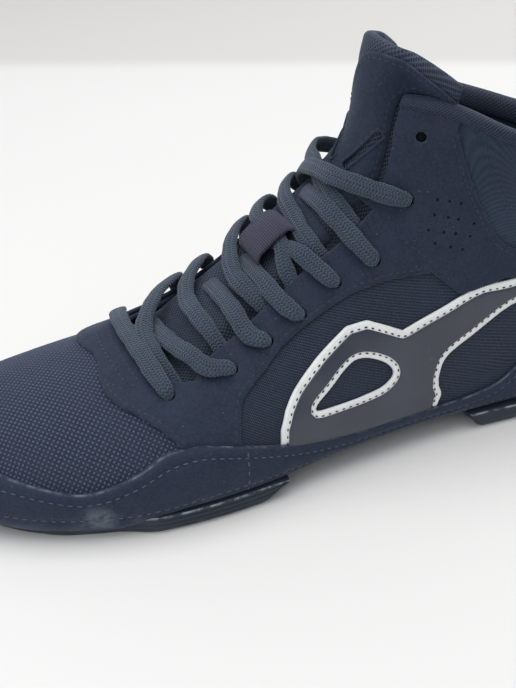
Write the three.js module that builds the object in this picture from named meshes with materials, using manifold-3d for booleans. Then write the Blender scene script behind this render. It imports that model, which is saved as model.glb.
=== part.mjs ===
import * as THREE from "three";
import { mergeVertices } from "three/addons/utils/BufferGeometryUtils.js";
import Module from "manifold-3d";

const wasm = await Module();
wasm.setup();

// Left wrestling shoe, high cut and laced, standing empty on its sole.
// X runs from heel to toe, Y to the outer (lateral) side, Z up; the origin is the middle of the
// heel's flat spot on the floor.

// ---- sizes in mm ----
const LAST_LENGTH = 285; // heel to toe over the last
const BALL_WIDTH = 94; // across the last at the ball of the foot
const HEEL_WIDTH = 69; // across the last at the heel and ankle
const COLLAR_HEIGHT = 134; // floor to the front of the collar
const SOLE_LIFT = 5.5; // floor to the underside of the last
const SEAT_BACK = 45; // back of the last to the middle of the heel's flat spot
const GAP = 0.3; // air between pieces that meet
const WALL = 2.0; // upper
const RAND_WALL = 2.0; // wrap around the bottom edge
const TRIM = 1.2; // overlays on the upper
const TONGUE_WALL = 4.0; // padded tongue
const TONGUE_CLEAR = 1.1; // tongue's edge below the inside of the upper
const TONGUE_RISE = 12; // tongue above the front of the collar
const PATCH_WALL = 1.0; // bare patch at the top of the tongue
const INSOLE_WALL = 4.0; // sock liner over the inside of the upper
const PAD_DRAFT = 2.2; // outsole pads narrow by this much on each side down to the floor
const PAD_LEDGE = 3.4; // outsole pads past the last on each side
const EYELET_BORE = 4.4; // lace holes
const LACE_WIDTH = 6.4; // flat-oval lace
const LACE_THICK = 2.2;
const COLLAR_BAND = 6; // binding below the collar line
const SEAT_INSET = 12; // upper's underside left around the opening for the midsole
const GROOVE_WIDTH = 0.9; // dark lines along the side of the forefoot pad
const GROOVE_DEPTH = 0.8;
const LUG_GROOVE = 2.6; // cross grooves under the pads
const LUG_DEPTH = 1.2;

// ---- the last ----
// One row per section, toe tip first, then along the sole and up the heel to above the collar.
// x of the top line and of the sole line: shares of LAST_LENGTH. z of the top line: share of
// COLLAR_HEIGHT. z of the sole line: SOLE_LIFT plus a share of COLLAR_HEIGHT. lateral and medial
// edge: shares of the width, which goes from BALL_WIDTH to HEEL_WIDTH with rear. widest: where
// between sole and top the section is widest. roundTop, roundSole: 1 is an ellipse, less squarer.
const SECTIONS = [
  // xTop   zTop   xSole  zSole   lateral medial rear widest roundTop roundSole
  [1.0000, 0.1045, 1.0000, 0.0634, -0.074, -0.074, 0.00, 0.45, 1.00, 1.00],
  [0.9895, 0.1716, 0.9860, 0.0373, 0.138, -0.266, 0.00, 0.42, 1.00, 0.75],
  [0.9614, 0.2313, 0.9509, 0.0187, 0.277, -0.383, 0.00, 0.38, 1.00, 0.58],
  [0.9053, 0.2799, 0.8947, 0.0075, 0.388, -0.452, 0.00, 0.33, 1.00, 0.48],
  [0.8386, 0.3134, 0.8246, 0.0000, 0.468, -0.484, 0.00, 0.30, 1.00, 0.44],
  [0.7684, 0.3470, 0.7474, 0.0000, 0.511, -0.489, 0.00, 0.28, 1.00, 0.42],
  [0.7018, 0.3881, 0.6737, 0.0000, 0.516, -0.468, 0.00, 0.27, 1.00, 0.42],
  [0.6386, 0.4478, 0.5965, 0.0000, 0.495, -0.426, 0.00, 0.26, 1.00, 0.42],
  [0.5860, 0.5112, 0.5193, 0.0075, 0.473, -0.410, 0.15, 0.24, 1.00, 0.42],
  [0.5404, 0.5821, 0.4421, 0.0149, 0.473, -0.402, 0.35, 0.23, 0.95, 0.42],
  [0.5018, 0.6493, 0.3614, 0.0149, 0.496, -0.431, 0.70, 0.22, 0.92, 0.42],
  [0.4702, 0.7164, 0.2737, 0.0075, 0.529, -0.478, 1.00, 0.22, 0.92, 0.42],
  [0.4474, 0.7761, 0.1825, 0.0000, 0.522, -0.486, 1.00, 0.23, 0.92, 0.45],
  [0.4298, 0.8358, 0.0947, 0.0000, 0.514, -0.486, 1.00, 0.27, 0.92, 0.50],
  [0.4175, 0.8955, 0.0281, 0.0485, 0.500, -0.478, 1.00, 0.33, 0.94, 0.62],
  [0.4070, 0.9552, 0.0070, 0.2127, 0.478, -0.471, 1.00, 0.42, 0.97, 0.85],
  [0.4000, 1.0149, 0.0140, 0.3918, 0.478, -0.464, 1.00, 0.48, 1.00, 1.00],
  [0.3930, 1.0746, 0.0281, 0.5858, 0.493, -0.478, 1.00, 0.50, 1.00, 1.00],
  [0.3860, 1.1343, 0.0316, 0.7500, 0.507, -0.493, 1.00, 0.50, 1.00, 1.00],
  [0.3789, 1.2015, 0.0246, 0.9142, 0.522, -0.522, 1.00, 0.50, 1.00, 1.00],
  [0.3719, 1.2761, 0.0175, 1.0784, 0.536, -0.536, 1.00, 0.50, 1.00, 1.00],
];
const LAST_ROW = SECTIONS.length - 1;

const mix = (a, b, t) => a + (b - a) * t;
const wave = (v, e) => Math.sign(v) * Math.abs(v) ** e;
const rad = (deg) => (deg * Math.PI) / 180;

const sized = SECTIONS.map(([xt, zt, xs, zs, lat, med, rear, widest, rt, rs]) => {
  const width = mix(BALL_WIDTH, HEEL_WIDTH, rear);
  return [
    xt * LAST_LENGTH - SEAT_BACK, zt * COLLAR_HEIGHT,
    xs * LAST_LENGTH - SEAT_BACK, SOLE_LIFT + zs * COLLAR_HEIGHT,
    lat * width, med * width, widest, rt, rs,
  ];
});
// the toe's section beyond the tip is the first one turned over, so the tip comes out round
const beyondTip = [...sized[1]];
[beyondTip[0], beyondTip[2]] = [sized[1][2], sized[1][0]];
[beyondTip[1], beyondTip[3]] = [sized[1][3], sized[1][1]];
[beyondTip[4], beyondTip[5]] = [sized[1][5], sized[1][4]];

function section(row) {
  const r = Math.min(Math.max(row, 0), LAST_ROW);
  const i = Math.min(Math.floor(r), LAST_ROW - 1);
  const t = r - i;
  const p1 = sized[i];
  const p2 = sized[i + 1];
  const p0 = i > 0 ? sized[i - 1] : beyondTip;
  const p3 = i + 2 <= LAST_ROW ? sized[i + 2] : p2.map((v, k) => 2 * v - p1[k]);
  return p1.map((_, k) => 0.5 * (2 * p1[k] + (p2[k] - p0[k]) * t
    + (2 * p0[k] - 5 * p1[k] + 4 * p2[k] - p3[k]) * t * t
    + (3 * p1[k] - p0[k] - 3 * p2[k] + p3[k]) * t * t * t));
}

// point of the last: row along it, angle around it (0 top line, 90 lateral, 180 sole, -90 medial)
function lastPoint(row, angle) {
  const [xt, zt, xs, zs, lat, med, widest, rt, rs] = section(row);
  const c = Math.cos(rad(angle));
  const e = c > 0 ? rt : rs;
  const y = (lat + med) / 2 + ((lat - med) / 2) * wave(Math.sin(rad(angle)), e);
  const up = c > 0 ? mix(widest, 1, c ** e) : widest * (1 - (-c) ** e);
  return new THREE.Vector3(mix(xs, xt, up), y, mix(zs, zt, up));
}

// the same point moved out of the last by offset
function skin(row, angle, offset) {
  if (row < 0.02) {
    const tip = lastPoint(0, 0);
    tip.x += offset;
    return tip;
  }
  const d = 0.05;
  const along = lastPoint(Math.min(row + d, LAST_ROW), angle).sub(lastPoint(row - d, angle));
  const around = lastPoint(row, angle + 2).sub(lastPoint(row, angle - 2));
  const normal = around.cross(along).normalize();
  return lastPoint(row, angle).addScaledVector(normal, offset);
}

// ---- solids ----
function solidOf(points, faces) {
  const position = new Float32Array(points.flatMap((p) => [p.x, p.y, p.z]));
  const geometry = new THREE.BufferGeometry();
  geometry.setAttribute("position", new THREE.BufferAttribute(position, 3));
  geometry.setIndex(faces.flat());
  return geometry;
}

function toSolid(geometry) {
  let g = geometry.clone();
  g.deleteAttribute("normal");
  g.deleteAttribute("uv");
  g = mergeVertices(g, 1e-4);
  const vertProperties = new Float32Array(g.attributes.position.array);
  const triVerts = new Uint32Array(g.index.array);
  return new wasm.Manifold(new wasm.Mesh({ numProp: 3, vertProperties, triVerts }));
}

function toGeometry(solid) {
  const mesh = solid.getMesh();
  const geometry = new THREE.BufferGeometry();
  geometry.setAttribute("position", new THREE.BufferAttribute(new Float32Array(mesh.vertProperties), 3));
  geometry.setIndex(new THREE.BufferAttribute(new Uint32Array(mesh.triVerts), 1));
  geometry.computeVertexNormals();
  return geometry;
}

// rings of points, closed around, capped at both ends by a middle point
function tubeOf(rings, startPoint, endPoint) {
  const n = rings[0].length;
  const points = rings.flat();
  const faces = [];
  for (let i = 0; i + 1 < rings.length; i++) {
    for (let j = 0; j < n; j++) {
      const a = i * n + j;
      const b = i * n + ((j + 1) % n);
      faces.push([a, b, b + n], [a, b + n, a + n]);
    }
  }
  const start = points.push(startPoint) - 1;
  const end = points.push(endPoint) - 1;
  const last = (rings.length - 1) * n;
  for (let j = 0; j < n; j++) {
    const k = (j + 1) % n;
    faces.push([start, k, j], [end, last + j, last + k]);
  }
  return solidOf(points, faces);
}

const middle = (ring) => ring.reduce((s, p) => s.add(p), new THREE.Vector3()).divideScalar(ring.length);

// closed body of the last grown by offset; every offset shares these rows and angles
const ROWS = [0.4, 1, 1.7, 2.6, 3.6, 4.8, 6, 7, 8, 9, 10, 11, 12, 12.8, 13.6, 14.4, 15.5, 17, 20];
const ANGLES = Array.from({ length: 28 }, (_, j) => (j * 360) / 28);
const grown = new Map();
function lastBody(offset) {
  if (!grown.has(offset)) {
    const rings = ROWS.map((row) => ANGLES.map((angle) => skin(row, angle, offset)));
    const body = tubeOf(rings, skin(0, 0, offset), middle(rings[rings.length - 1]));
    grown.set(offset, toSolid(body));
  }
  return grown.get(offset);
}
const shell = (low, high) => lastBody(high).subtract(lastBody(low));

// smooth line through [a, b] pairs, in steps
function smooth(pairs, steps, closed = false) {
  const curve = new THREE.CatmullRomCurve3(
    pairs.map(([a, b]) => new THREE.Vector3(a, b, 0)), closed, "centripetal");
  const points = curve.getPoints(pairs.length * steps).map((p) => [p.x, p.y]);
  if (closed) points.pop();
  return points;
}

const edgeKey = (a, b) => (a < b ? `${a}_${b}` : `${b}_${a}`);

// block over an outline of [row, angle] pairs, from low to high above the last
function patch(outline, low, high, levels = 3) {
  const flat = outline.map(([row, angle]) => new THREE.Vector2(row, angle / 12));
  if (THREE.ShapeUtils.isClockWise(flat)) flat.reverse();
  let faces = THREE.ShapeUtils.triangulateShape(flat, []);
  const points = [...flat];
  const rim = new Set(flat.map((_, i) => edgeKey(i, (i + 1) % flat.length)));
  for (let level = 0; level < levels; level++) {
    // every edge but the outline's own is halved, so the faces inside follow the last
    const halves = new Map();
    const half = (a, b) => {
      const key = edgeKey(a, b);
      if (rim.has(key)) return null;
      if (!halves.has(key)) halves.set(key, points.push(points[a].clone().lerp(points[b], 0.5)) - 1);
      return halves.get(key);
    };
    faces = faces.flatMap((face) => {
      const [a, b, c] = face;
      const [ab, bc, ca] = [half(a, b), half(b, c), half(c, a)];
      if (ab !== null && bc !== null && ca !== null) return [[a, ab, ca], [ab, b, bc], [ca, bc, c], [ab, bc, ca]];
      const corners = [a, ab, b, bc, c, ca].filter((v) => v !== null);
      if (corners.length === 3) return [face];
      // fan from a halved edge's middle
      const first = corners.indexOf(ab ?? bc ?? ca);
      const turned = [...corners.slice(first), ...corners.slice(0, first)];
      return turned.slice(1, -1).map((v, k) => [turned[0], v, turned[k + 2]]);
    });
  }
  const edges = new Map();
  faces.forEach((f) => f.forEach((a, k) => edges.set(`${a}_${f[(k + 1) % 3]}`, [a, f[(k + 1) % 3]])));
  const n = points.length;
  const body = [high, low].flatMap((o) => points.map((p) => skin(p.x, p.y * 12, o)));
  const all = [];
  faces.forEach(([a, b, c]) => all.push([a, c, b], [n + a, n + b, n + c]));
  edges.forEach(([a, b], key) => {
    if (!edges.has(`${b}_${a}`)) all.push([a, b, n + b], [a, n + b, n + a]);
  });
  return toSolid(solidOf(body, all));
}

// side view [x, z] outline through the whole width
function sideBlock(outline) {
  const shape = new THREE.Shape(outline.map(([x, z]) => new THREE.Vector2(x, z)));
  const block = new THREE.ExtrudeGeometry(shape, { depth: 2 * BALL_WIDTH, bevelEnabled: false });
  block.translate(0, 0, -BALL_WIDTH);
  block.rotateX(Math.PI / 2);
  return toSolid(block);
}

// top view [x, y] outline between two heights
function planBlock(outline, low, high) {
  const shape = new THREE.Shape(outline.map(([x, y]) => new THREE.Vector2(x, y)));
  const block = new THREE.ExtrudeGeometry(shape, { depth: high - low, bevelEnabled: false });
  block.translate(0, 0, low);
  return toSolid(block);
}

// bar of flat-oval section along points, each with the direction its flat side faces
function bar(path, faces, width, thick, sides = 4) {
  const rings = path.map((p, i) => {
    const t = path[Math.min(i + 1, path.length - 1)].clone().sub(path[Math.max(i - 1, 0)]).normalize();
    const n = faces[i].clone().addScaledVector(t, -faces[i].dot(t)).normalize();
    const b = n.clone().cross(t);
    return Array.from({ length: sides }, (_, j) => {
      const a = ((j + 0.5) * 2 * Math.PI) / sides;
      return p.clone().addScaledVector(b, (Math.cos(a) * width) / 2 / Math.cos(Math.PI / sides))
        .addScaledVector(n, (Math.sin(a) * thick) / 2 / Math.sin(Math.PI / sides));
    });
  });
  return tubeOf(rings, middle(rings[0]), middle(rings[rings.length - 1]));
}

// ---- outlines ----
const mirrored = (outline) => outline.map(([row, angle]) => [row, -angle]);
const ringOf = (half) => [...half, ...mirrored(half).reverse()];

// heights of the wrap's top edge, x from the back of the last: shares of LAST_LENGTH, COLLAR_HEIGHT
const WRAP_LINE = [
  // x     z
  [-0.08, 0.37], [0.05, 0.355], [0.11, 0.33], [0.165, 0.27], [0.215, 0.20], [0.25, 0.148],
  [0.30, 0.126], [0.36, 0.124], [0.42, 0.124], [0.48, 0.128], [0.54, 0.145], [0.585, 0.172],
  [0.63, 0.201], [0.69, 0.233], [0.715, 0.232], [0.745, 0.220], [0.77, 0.195], [0.81, 0.165],
  [0.845, 0.155], [0.895, 0.178], [0.93, 0.197], [0.98, 0.21], [1.08, 0.215],
];
const wrapLine = (drop) => smooth(WRAP_LINE.map(([x, z]) =>
  [x * LAST_LENGTH - SEAT_BACK, z * COLLAR_HEIGHT + drop]), 1);
const below = (line, floor) => [...line, [line[line.length - 1][0], floor], [line[0][0], floor]];

// heights of the collar: shares of LAST_LENGTH and COLLAR_HEIGHT
const COLLAR_LINE = [
  // x     z
  [-0.10, 0.81], [0.02, 0.79], [0.09, 0.79], [0.16, 0.835], [0.26, 0.915],
  [0.315, 0.972], [0.345, 0.995], [0.375, 1.00], [0.41, 0.985], [0.50, 0.975],
];
const collarLine = (drop) => smooth(COLLAR_LINE.map(([x, z]) =>
  [x * LAST_LENGTH - SEAT_BACK, z * COLLAR_HEIGHT + drop]), 1);
const above = (line, ceiling) => [...line, [line[line.length - 1][0], ceiling], [line[0][0], ceiling]];

// throat, lateral half from its front to above the collar: row, angle
const THROAT = [
  [5.66, 5], [5.74, 16], [5.82, 26], [6.05, 34], [6.32, 37], [6.62, 30.5], [7.55, 28], [8.25, 27],
  [9.25, 25.5], [10.7, 28], [12.1, 28.5], [13.4, 25], [14.85, 23.5], [15.7, 24.5], [17, 26], [19.6, 27],
];
const throatHalf = THROAT;
const throat = ringOf(throatHalf);

// lace holes: row, angle
const EYELETS = [
  [5.78, 38], [7.0, 41.5], [7.9, 40.5], [8.8, 40.5], [9.9, 39.5], [11.05, 43], [13.15, 37], [15.3, 36],
];

// eyestay: lateral edge from the toe tab down to the wrap and back along it; the mesh window and the
// ankle panel then bound it from behind
const EYESTAY = [
  [4.93, 3], [4.86, 10], [4.88, 18], [4.9, 26], [5.02, 34], [5.3, 45], [5.5, 55], [5.62, 66],
  [5.6, 86], [8, 88], [10, 88], [12.6, 88], [12.9, 60], [12.9, 20],
];
// side views: x from the back of the last, share of LAST_LENGTH; z share of COLLAR_HEIGHT
const WINDOW = [
  // x     z
  [0.646, 0.08], [0.641, 0.223], [0.632, 0.300], [0.621, 0.329], [0.600, 0.357], [0.540, 0.446],
  [0.492, 0.498], [0.433, 0.534], [0.385, 0.538], [0.352, 0.545], [0.20, 0.70], [-0.10, 0.80],
  [-0.10, 0.08],
];
const ANKLE = [
  // x     z
  [0.560, 0.80], [0.440, 0.745], [0.414, 0.692], [0.399, 0.633], [0.372, 0.579], [0.353, 0.534],
  [0.318, 0.466], [0.250, 0.487], [0.180, 0.512], [0.05, 0.56], [0.05, 0.63], [0.150, 0.595],
  [0.215, 0.568], [0.242, 0.574], [0.268, 0.622], [0.284, 0.683], [0.300, 0.757], [0.317, 0.856],
  [0.328, 0.927], [0.335, 1.06], [0.560, 1.06],
];
// plain saddle panel on the midfoot with a window, and a tail toward the heel: shares as in side view
const SADDLE = [
  // x     z
  [0.585, 0.08], [0.575, 0.26], [0.525, 0.375], [0.480, 0.440], [0.450, 0.445], [0.40, 0.395],
  [0.318, 0.458], [0.250, 0.479], [0.18, 0.502], [0.06, 0.545], [0.06, 0.47], [0.18, 0.43],
  [0.255, 0.385], [0.315, 0.31], [0.345, 0.22], [0.350, 0.08],
];
const SADDLE_WINDOW = [
  // x     z
  [0.528, 0.195], [0.520, 0.270], [0.478, 0.345], [0.430, 0.320], [0.408, 0.195],
];
const COUNTER = [
  // x     z
  [-0.08, 0.10], [-0.08, 0.60], [0.06, 0.60], [0.085, 0.56], [0.105, 0.44], [0.15, 0.36],
  [0.185, 0.28], [0.19, 0.10],
];
const sided = (table) => table.map(([x, z]) => [x * LAST_LENGTH - SEAT_BACK, z * COLLAR_HEIGHT]);

// outline moved out by a clearance, so that a neighbour cut with it keeps that much air
function widened(outline, by) {
  const n = outline.length;
  const area = outline.reduce((s, [x, z], i) => {
    const [u, w] = outline[(i + 1) % n];
    return s + x * w - u * z;
  }, 0);
  return outline.map(([x, z], i) => {
    const [px, pz] = outline[(i + n - 1) % n];
    const [qx, qz] = outline[(i + 1) % n];
    const [ax, az] = [x - px, z - pz];
    const [bx, bz] = [qx - x, qz - z];
    const a = Math.hypot(ax, az);
    const b = Math.hypot(bx, bz);
    const sign = Math.sign(area);
    const [nx, nz] = [sign * (az / a + bz / b), -sign * (ax / a + bx / b)];
    const scale = (2 * by) / Math.max(nx * nx + nz * nz, 0.8);
    return [x + nx * scale, z + nz * scale];
  });
}

// ---- blocks that cut ----
const collarCut = sideBlock(above(collarLine(0), 2 * COLLAR_HEIGHT));
const throatCut = patch(throat, -3 * WALL, 9, 3);
const wrapSpace = sideBlock(below(wrapLine(GAP), -COLLAR_HEIGHT));
const wrapBlock = sideBlock(below(wrapLine(0), -COLLAR_HEIGHT));
const sideSpace = (side) => planBlock(
  [[-LAST_LENGTH, 0], [LAST_LENGTH, 0], [LAST_LENGTH, side * BALL_WIDTH], [-LAST_LENGTH, side * BALL_WIDTH]],
  -COLLAR_HEIGHT, 2 * COLLAR_HEIGHT);

function eyeletCut(row, angle, bore = EYELET_BORE) {
  const low = skin(row, angle, -3 * WALL);
  const high = skin(row, angle, 3 * WALL);
  const pin = new THREE.CylinderGeometry(bore / 2, bore / 2, low.distanceTo(high), 6);
  pin.applyQuaternion(new THREE.Quaternion().setFromUnitVectors(
    new THREE.Vector3(0, 1, 0), high.clone().sub(low).normalize()));
  pin.translate(...low.clone().lerp(high, 0.5).toArray());
  return toSolid(pin);
}
const eyeletCuts = EYELETS.flatMap(([row, angle]) => [eyeletCut(row, angle), eyeletCut(row, -angle)]);
const withHoles = (solid) => eyeletCuts.reduce((s, pin) => s.subtract(pin), solid);

// opening under the foot, from its edge lines moved in
function seat(inset) {
  const stations = [1.75, 2.2, 3, 4, 5, 6, 7, 8, 9, 10, 11, 12, 12.6, 12.95];
  const lateral = stations.map((row) => {
    const [, , x, , lat] = section(row);
    return [x, (lat - inset) * (row > 12.3 ? 1 - (row - 12.3) * 0.55 : 1)];
  });
  const medial = stations.map((row) => {
    const [, , x, , , med] = section(row);
    return [x, (med + inset) * (row > 12.3 ? 1 - (row - 12.3) * 0.55 : 1)];
  });
  lateral[0][0] -= inset - SEAT_INSET;
  medial[0][0] -= inset - SEAT_INSET;
  lateral[lateral.length - 1][0] += inset - SEAT_INSET;
  medial[medial.length - 1][0] += inset - SEAT_INSET;
  return [...lateral, ...medial.reverse()];
}
const seatHigh = SOLE_LIFT + 0.12 * COLLAR_HEIGHT;

// ---- upper, wrap, midsole, insole ----
const upper = withHoles(shell(-WALL, 0).subtract(collarCut).subtract(throatCut)
  .subtract(planBlock(seat(SEAT_INSET), -COLLAR_HEIGHT, seatHigh)));
const wrapLow = GAP;
const wrapHigh = GAP + RAND_WALL;
const rand = shell(wrapLow, wrapHigh).intersect(wrapBlock);
const midsole = shell(-WALL, 0).intersect(planBlock(seat(SEAT_INSET + 1.5 * GAP), -COLLAR_HEIGHT, seatHigh));
const insoleTop = [1.1, 1.6, 2.2, 3, 4, 5, 6, 7, 8, 9, 10, 11, 12, 12.8, 13.4].map((row) => {
  const [, , x, z] = section(row);
  return [x, z + WALL + GAP + INSOLE_WALL];
});
insoleTop.unshift([LAST_LENGTH, insoleTop[0][1] + 1.5]);
insoleTop.push([-2 * SEAT_BACK, insoleTop[insoleTop.length - 1][1] + 1.5]);
const insole = lastBody(-WALL - GAP).intersect(sideBlock(
  [...insoleTop, [-2 * SEAT_BACK, -COLLAR_HEIGHT], [LAST_LENGTH, -COLLAR_HEIGHT]]));

// ---- outsole pads ----
// x: share of LAST_LENGTH from the back. lateral, medial: share of the width (see rear) before the
// ledge is added. rise: underside above the floor, share of SOLE_LIFT. side: top of the side wall,
// share of SOLE_LIFT.
const FOREFOOT_PAD = [
  // x     lateral medial rear  rise  side
  [0.995, 0.00, -0.15, 0.00, 2.10, 3.60],
  [0.982, 0.155, -0.28, 0.00, 1.35, 2.90],
  [0.950, 0.275, -0.385, 0.00, 0.62, 2.15],
  [0.895, 0.388, -0.452, 0.00, 0.16, 1.65],
  [0.845, 0.450, -0.475, 0.00, 0.00, 1.45],
  [0.785, 0.496, -0.487, 0.00, 0.00, 1.40],
  [0.715, 0.515, -0.478, 0.00, 0.00, 1.45],
  [0.655, 0.512, -0.460, 0.00, 0.00, 1.50],
  [0.605, 0.497, -0.428, 0.00, 0.00, 1.52],
  [0.572, 0.487, -0.418, 0.00, 0.12, 1.45],
];
const HEEL_PAD = [
  [0.288, 0.520, -0.475, 1.00, 0.45, 1.55],
  [0.262, 0.520, -0.480, 1.00, 0.00, 1.50],
  [0.180, 0.520, -0.486, 1.00, 0.00, 1.45],
  [0.120, 0.495, -0.465, 1.00, 0.00, 1.55],
  [0.075, 0.410, -0.390, 1.00, 0.05, 1.95],
  [0.045, 0.275, -0.260, 1.00, 0.30, 2.45],
  [0.028, 0.100, -0.090, 1.00, 0.75, 2.80],
];
const padEdge = (row) => {
  const [x, lat, med, rear] = row;
  const width = mix(BALL_WIDTH, HEEL_WIDTH, rear);
  return [x * LAST_LENGTH - SEAT_BACK, lat * width + PAD_LEDGE, med * width - PAD_LEDGE];
};
function pad(table) {
  const rings = table.map((row) => {
    const [x, lat, med] = padEdge(row);
    const low = row[4] * SOLE_LIFT;
    const high = row[5] * SOLE_LIFT;
    const at = (y, z) => new THREE.Vector3(x, y, z);
    return [
      at(med, high), at(lat, high), at(lat - 0.2 * PAD_DRAFT, mix(low, high, 0.45)),
      at(lat - PAD_DRAFT, low), at(med + PAD_DRAFT, low), at(med + 0.2 * PAD_DRAFT, mix(low, high, 0.45)),
    ];
  });
  return toSolid(tubeOf(rings, middle(rings[0]), middle(rings[rings.length - 1])));
}
function crossGrooves(solid, shares, halfWidth) {
  return shares.reduce((s, x) => {
    const block = new THREE.BoxGeometry(LUG_GROOVE, 2 * halfWidth, 2 * LUG_DEPTH);
    block.translate(x * LAST_LENGTH - SEAT_BACK, 0, 0);
    return s.subtract(toSolid(block));
  }, solid);
}
function sideGrooves(solid, side) {
  const rows = FOREFOOT_PAD.slice(5, 9);
  return [0.26, 0.52, 0.78].reduce((s, share, k) => {
    const used = k === 0 ? rows : rows.slice(k - 1);
    const path = used.map((row) => {
      const edge = padEdge(row)[side > 0 ? 1 : 2];
      const z = mix(row[4], row[5], share) * SOLE_LIFT;
      const draft = share < 0.45 ? mix(1, 0.2, share / 0.45) : mix(0.2, 0, (share - 0.45) / 0.55);
      return new THREE.Vector3(padEdge(row)[0], edge - side * draft * PAD_DRAFT, z);
    });
    const line = bar(path, path.map(() => new THREE.Vector3(0, side, 0)), GROOVE_WIDTH, 2 * GROOVE_DEPTH, 4);
    return s.subtract(toSolid(line));
  }, solid);
}
const wrapClear = lastBody(wrapHigh + GAP);
let forefoot = pad(FOREFOOT_PAD).subtract(wrapClear);
forefoot = sideGrooves(sideGrooves(forefoot, 1), -1);
forefoot = crossGrooves(forefoot, [0.64, 0.70, 0.76, 0.82], 0.36 * BALL_WIDTH);
const heel = crossGrooves(pad(HEEL_PAD).subtract(wrapClear), [0.118, 0.198, 0.24], 0.30 * HEEL_WIDTH);

// ---- overlays on the upper ----
const trimLow = GAP;
const trimHigh = GAP + TRIM;
const trimShell = shell(trimLow, trimHigh);
const trimmed = (solid) => withHoles(solid.subtract(wrapSpace).subtract(throatCut));
const bandTop = sideBlock(below(collarLine(0), -COLLAR_HEIGHT));
const bandBottom = sideBlock(below(collarLine(-COLLAR_BAND), -COLLAR_HEIGHT));
const bandSpace = sideBlock(above(collarLine(-COLLAR_BAND - GAP), 2 * COLLAR_HEIGHT));
const collarBinding = trimShell.intersect(bandTop).subtract(bandBottom).subtract(throatCut);
const eyestayPatch = patch(ringOf(EYESTAY), -2, 6, 3);
const counterSpace = sideBlock(widened(sided(COUNTER), 1.5 * GAP));
const saddleSpace = sideBlock(widened(sided(SADDLE), 1.5 * GAP));
const ankleSpace = sideBlock(widened(sided(ANKLE), 1.2 * GAP));
const eyestay = trimmed(trimShell.intersect(eyestayPatch).subtract(sideBlock(sided(WINDOW)))
  .subtract(ankleSpace).subtract(saddleSpace));
const anklePanel = (side) => trimmed(trimShell.intersect(sideBlock(sided(ANKLE))).intersect(sideSpace(side))
  .subtract(bandSpace).subtract(counterSpace).subtract(saddleSpace));
const counter = trimmed(trimShell.intersect(sideBlock(sided(COUNTER))));
const saddle = (side) => trimmed(trimShell.intersect(sideSpace(side)).intersect(sideBlock(sided(SADDLE)))
  .subtract(sideBlock(sided(SADDLE_WINDOW))).subtract(counterSpace));

// ---- tongue ----
const TONGUE_FRONT = 5.1;
const tongueTopRow = 16.55 + TONGUE_RISE / (0.064 * COLLAR_HEIGHT);
// u from the front (0) to the top (1), v from the medial (-1) to the lateral edge (1)
function tonguePlace(u, v) {
  const top = tongueTopRow - 0.35 * Math.abs(v) ** 3;
  const row = mix(TONGUE_FRONT, top, u);
  const half = mix(36, 50, Math.min(1, u * 1.4));
  const angle = v * half;
  const open = throatOpen(row);
  const lift = Math.min(1, Math.max(0, (open - Math.abs(angle)) / 9), Math.max(0, row - 6.1));
  return [row, angle, mix(-WALL - TONGUE_CLEAR, -0.4, lift * lift * (3 - 2 * lift))];
}
function throatOpen(row) {
  if (row < 6) return 0;
  if (row > 16.2) return 23;
  const next = THROAT.findIndex(([r]) => r > row);
  const [r0, a0] = THROAT[next - 1];
  const [r1, a1] = THROAT[next];
  return mix(a0, a1, (row - r0) / (r1 - r0)) - 2;
}
// plate over part of the tongue, between two heights above its face
function onTongue(us, vs, low, high) {
  const points = [high, low].flatMap((o) => us.flatMap((u) => vs.map((v) => {
    const [row, angle, face] = tonguePlace(u, v);
    return skin(row, angle, face + o);
  })));
  const nu = us.length;
  const nv = vs.length;
  const n = nu * nv;
  const at = (i, j) => i * nv + j;
  const faces = [];
  for (let i = 0; i + 1 < nu; i++) {
    for (let j = 0; j + 1 < nv; j++) {
      const [a, b, c, d] = [at(i, j), at(i, j + 1), at(i + 1, j + 1), at(i + 1, j)];
      faces.push([a, b, c], [a, c, d], [n + a, n + c, n + b], [n + a, n + d, n + c]);
    }
  }
  const rim = [];
  for (let j = 0; j < nv - 1; j++) rim.push(at(0, j));
  for (let i = 0; i < nu - 1; i++) rim.push(at(i, nv - 1));
  for (let j = nv - 1; j > 0; j--) rim.push(at(nu - 1, j));
  for (let i = nu - 1; i > 0; i--) rim.push(at(i, 0));
  rim.forEach((a, k) => {
    const b = rim[(k + 1) % rim.length];
    faces.push([a, n + a, n + b], [a, n + b, b]);
  });
  return toSolid(solidOf(points, faces));
}
const spread = (a, b, n) => Array.from({ length: n + 1 }, (_, i) => mix(a, b, i / n));
const across = [-1, -0.78, -0.6, -0.42, -0.2, 0.2, 0.42, 0.6, 0.78, 1];
const tongueRows = spread(0, 1, 14);
const tongue = onTongue(tongueRows, across, -TONGUE_WALL, 0);
const patchHalf = [
  [11.75, 10], [11.95, 20], [12.6, 21.5], [13.4, 19.5], [14.85, 19], [15.7, 20], [16.3, 22], [16.75, 32],
  [17.0, 40], [17.22, 42], [17.4, 34], [17.52, 20], [17.56, 8],
];
// two slanting slots through the patch, open over the tongue's mesh
const slotHalf = [[12.7, 3], [12.45, 5.5], [14.35, 17], [14.6, 14.5]];
const slot = patch(slotHalf, -6, 8, 2).add(patch(mirrored(slotHalf), -6, 8, 2));
const tonguePatch = onTongue(tongueRows, across, GAP, GAP + PATCH_WALL)
  .intersect(patch(ringOf(patchHalf), -6, 8, 3))
  .subtract(slot);

// ---- laces ----
const laceOver = GAP + TRIM + 1.5 * GAP + LACE_THICK / 2; // middle of a lace above the eyestay
const onSkin = (row, angle, offset) => [skin(row, angle, offset),
  skin(row, angle, offset + 1).sub(skin(row, angle, offset))];
function laceBar(stops) {
  const placed = stops.map(([row, angle, offset]) => onSkin(row, angle, offset));
  return toSolid(bar(placed.map((p) => p[0]), placed.map((p) => p[1]), LACE_WIDTH, LACE_THICK));
}
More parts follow.
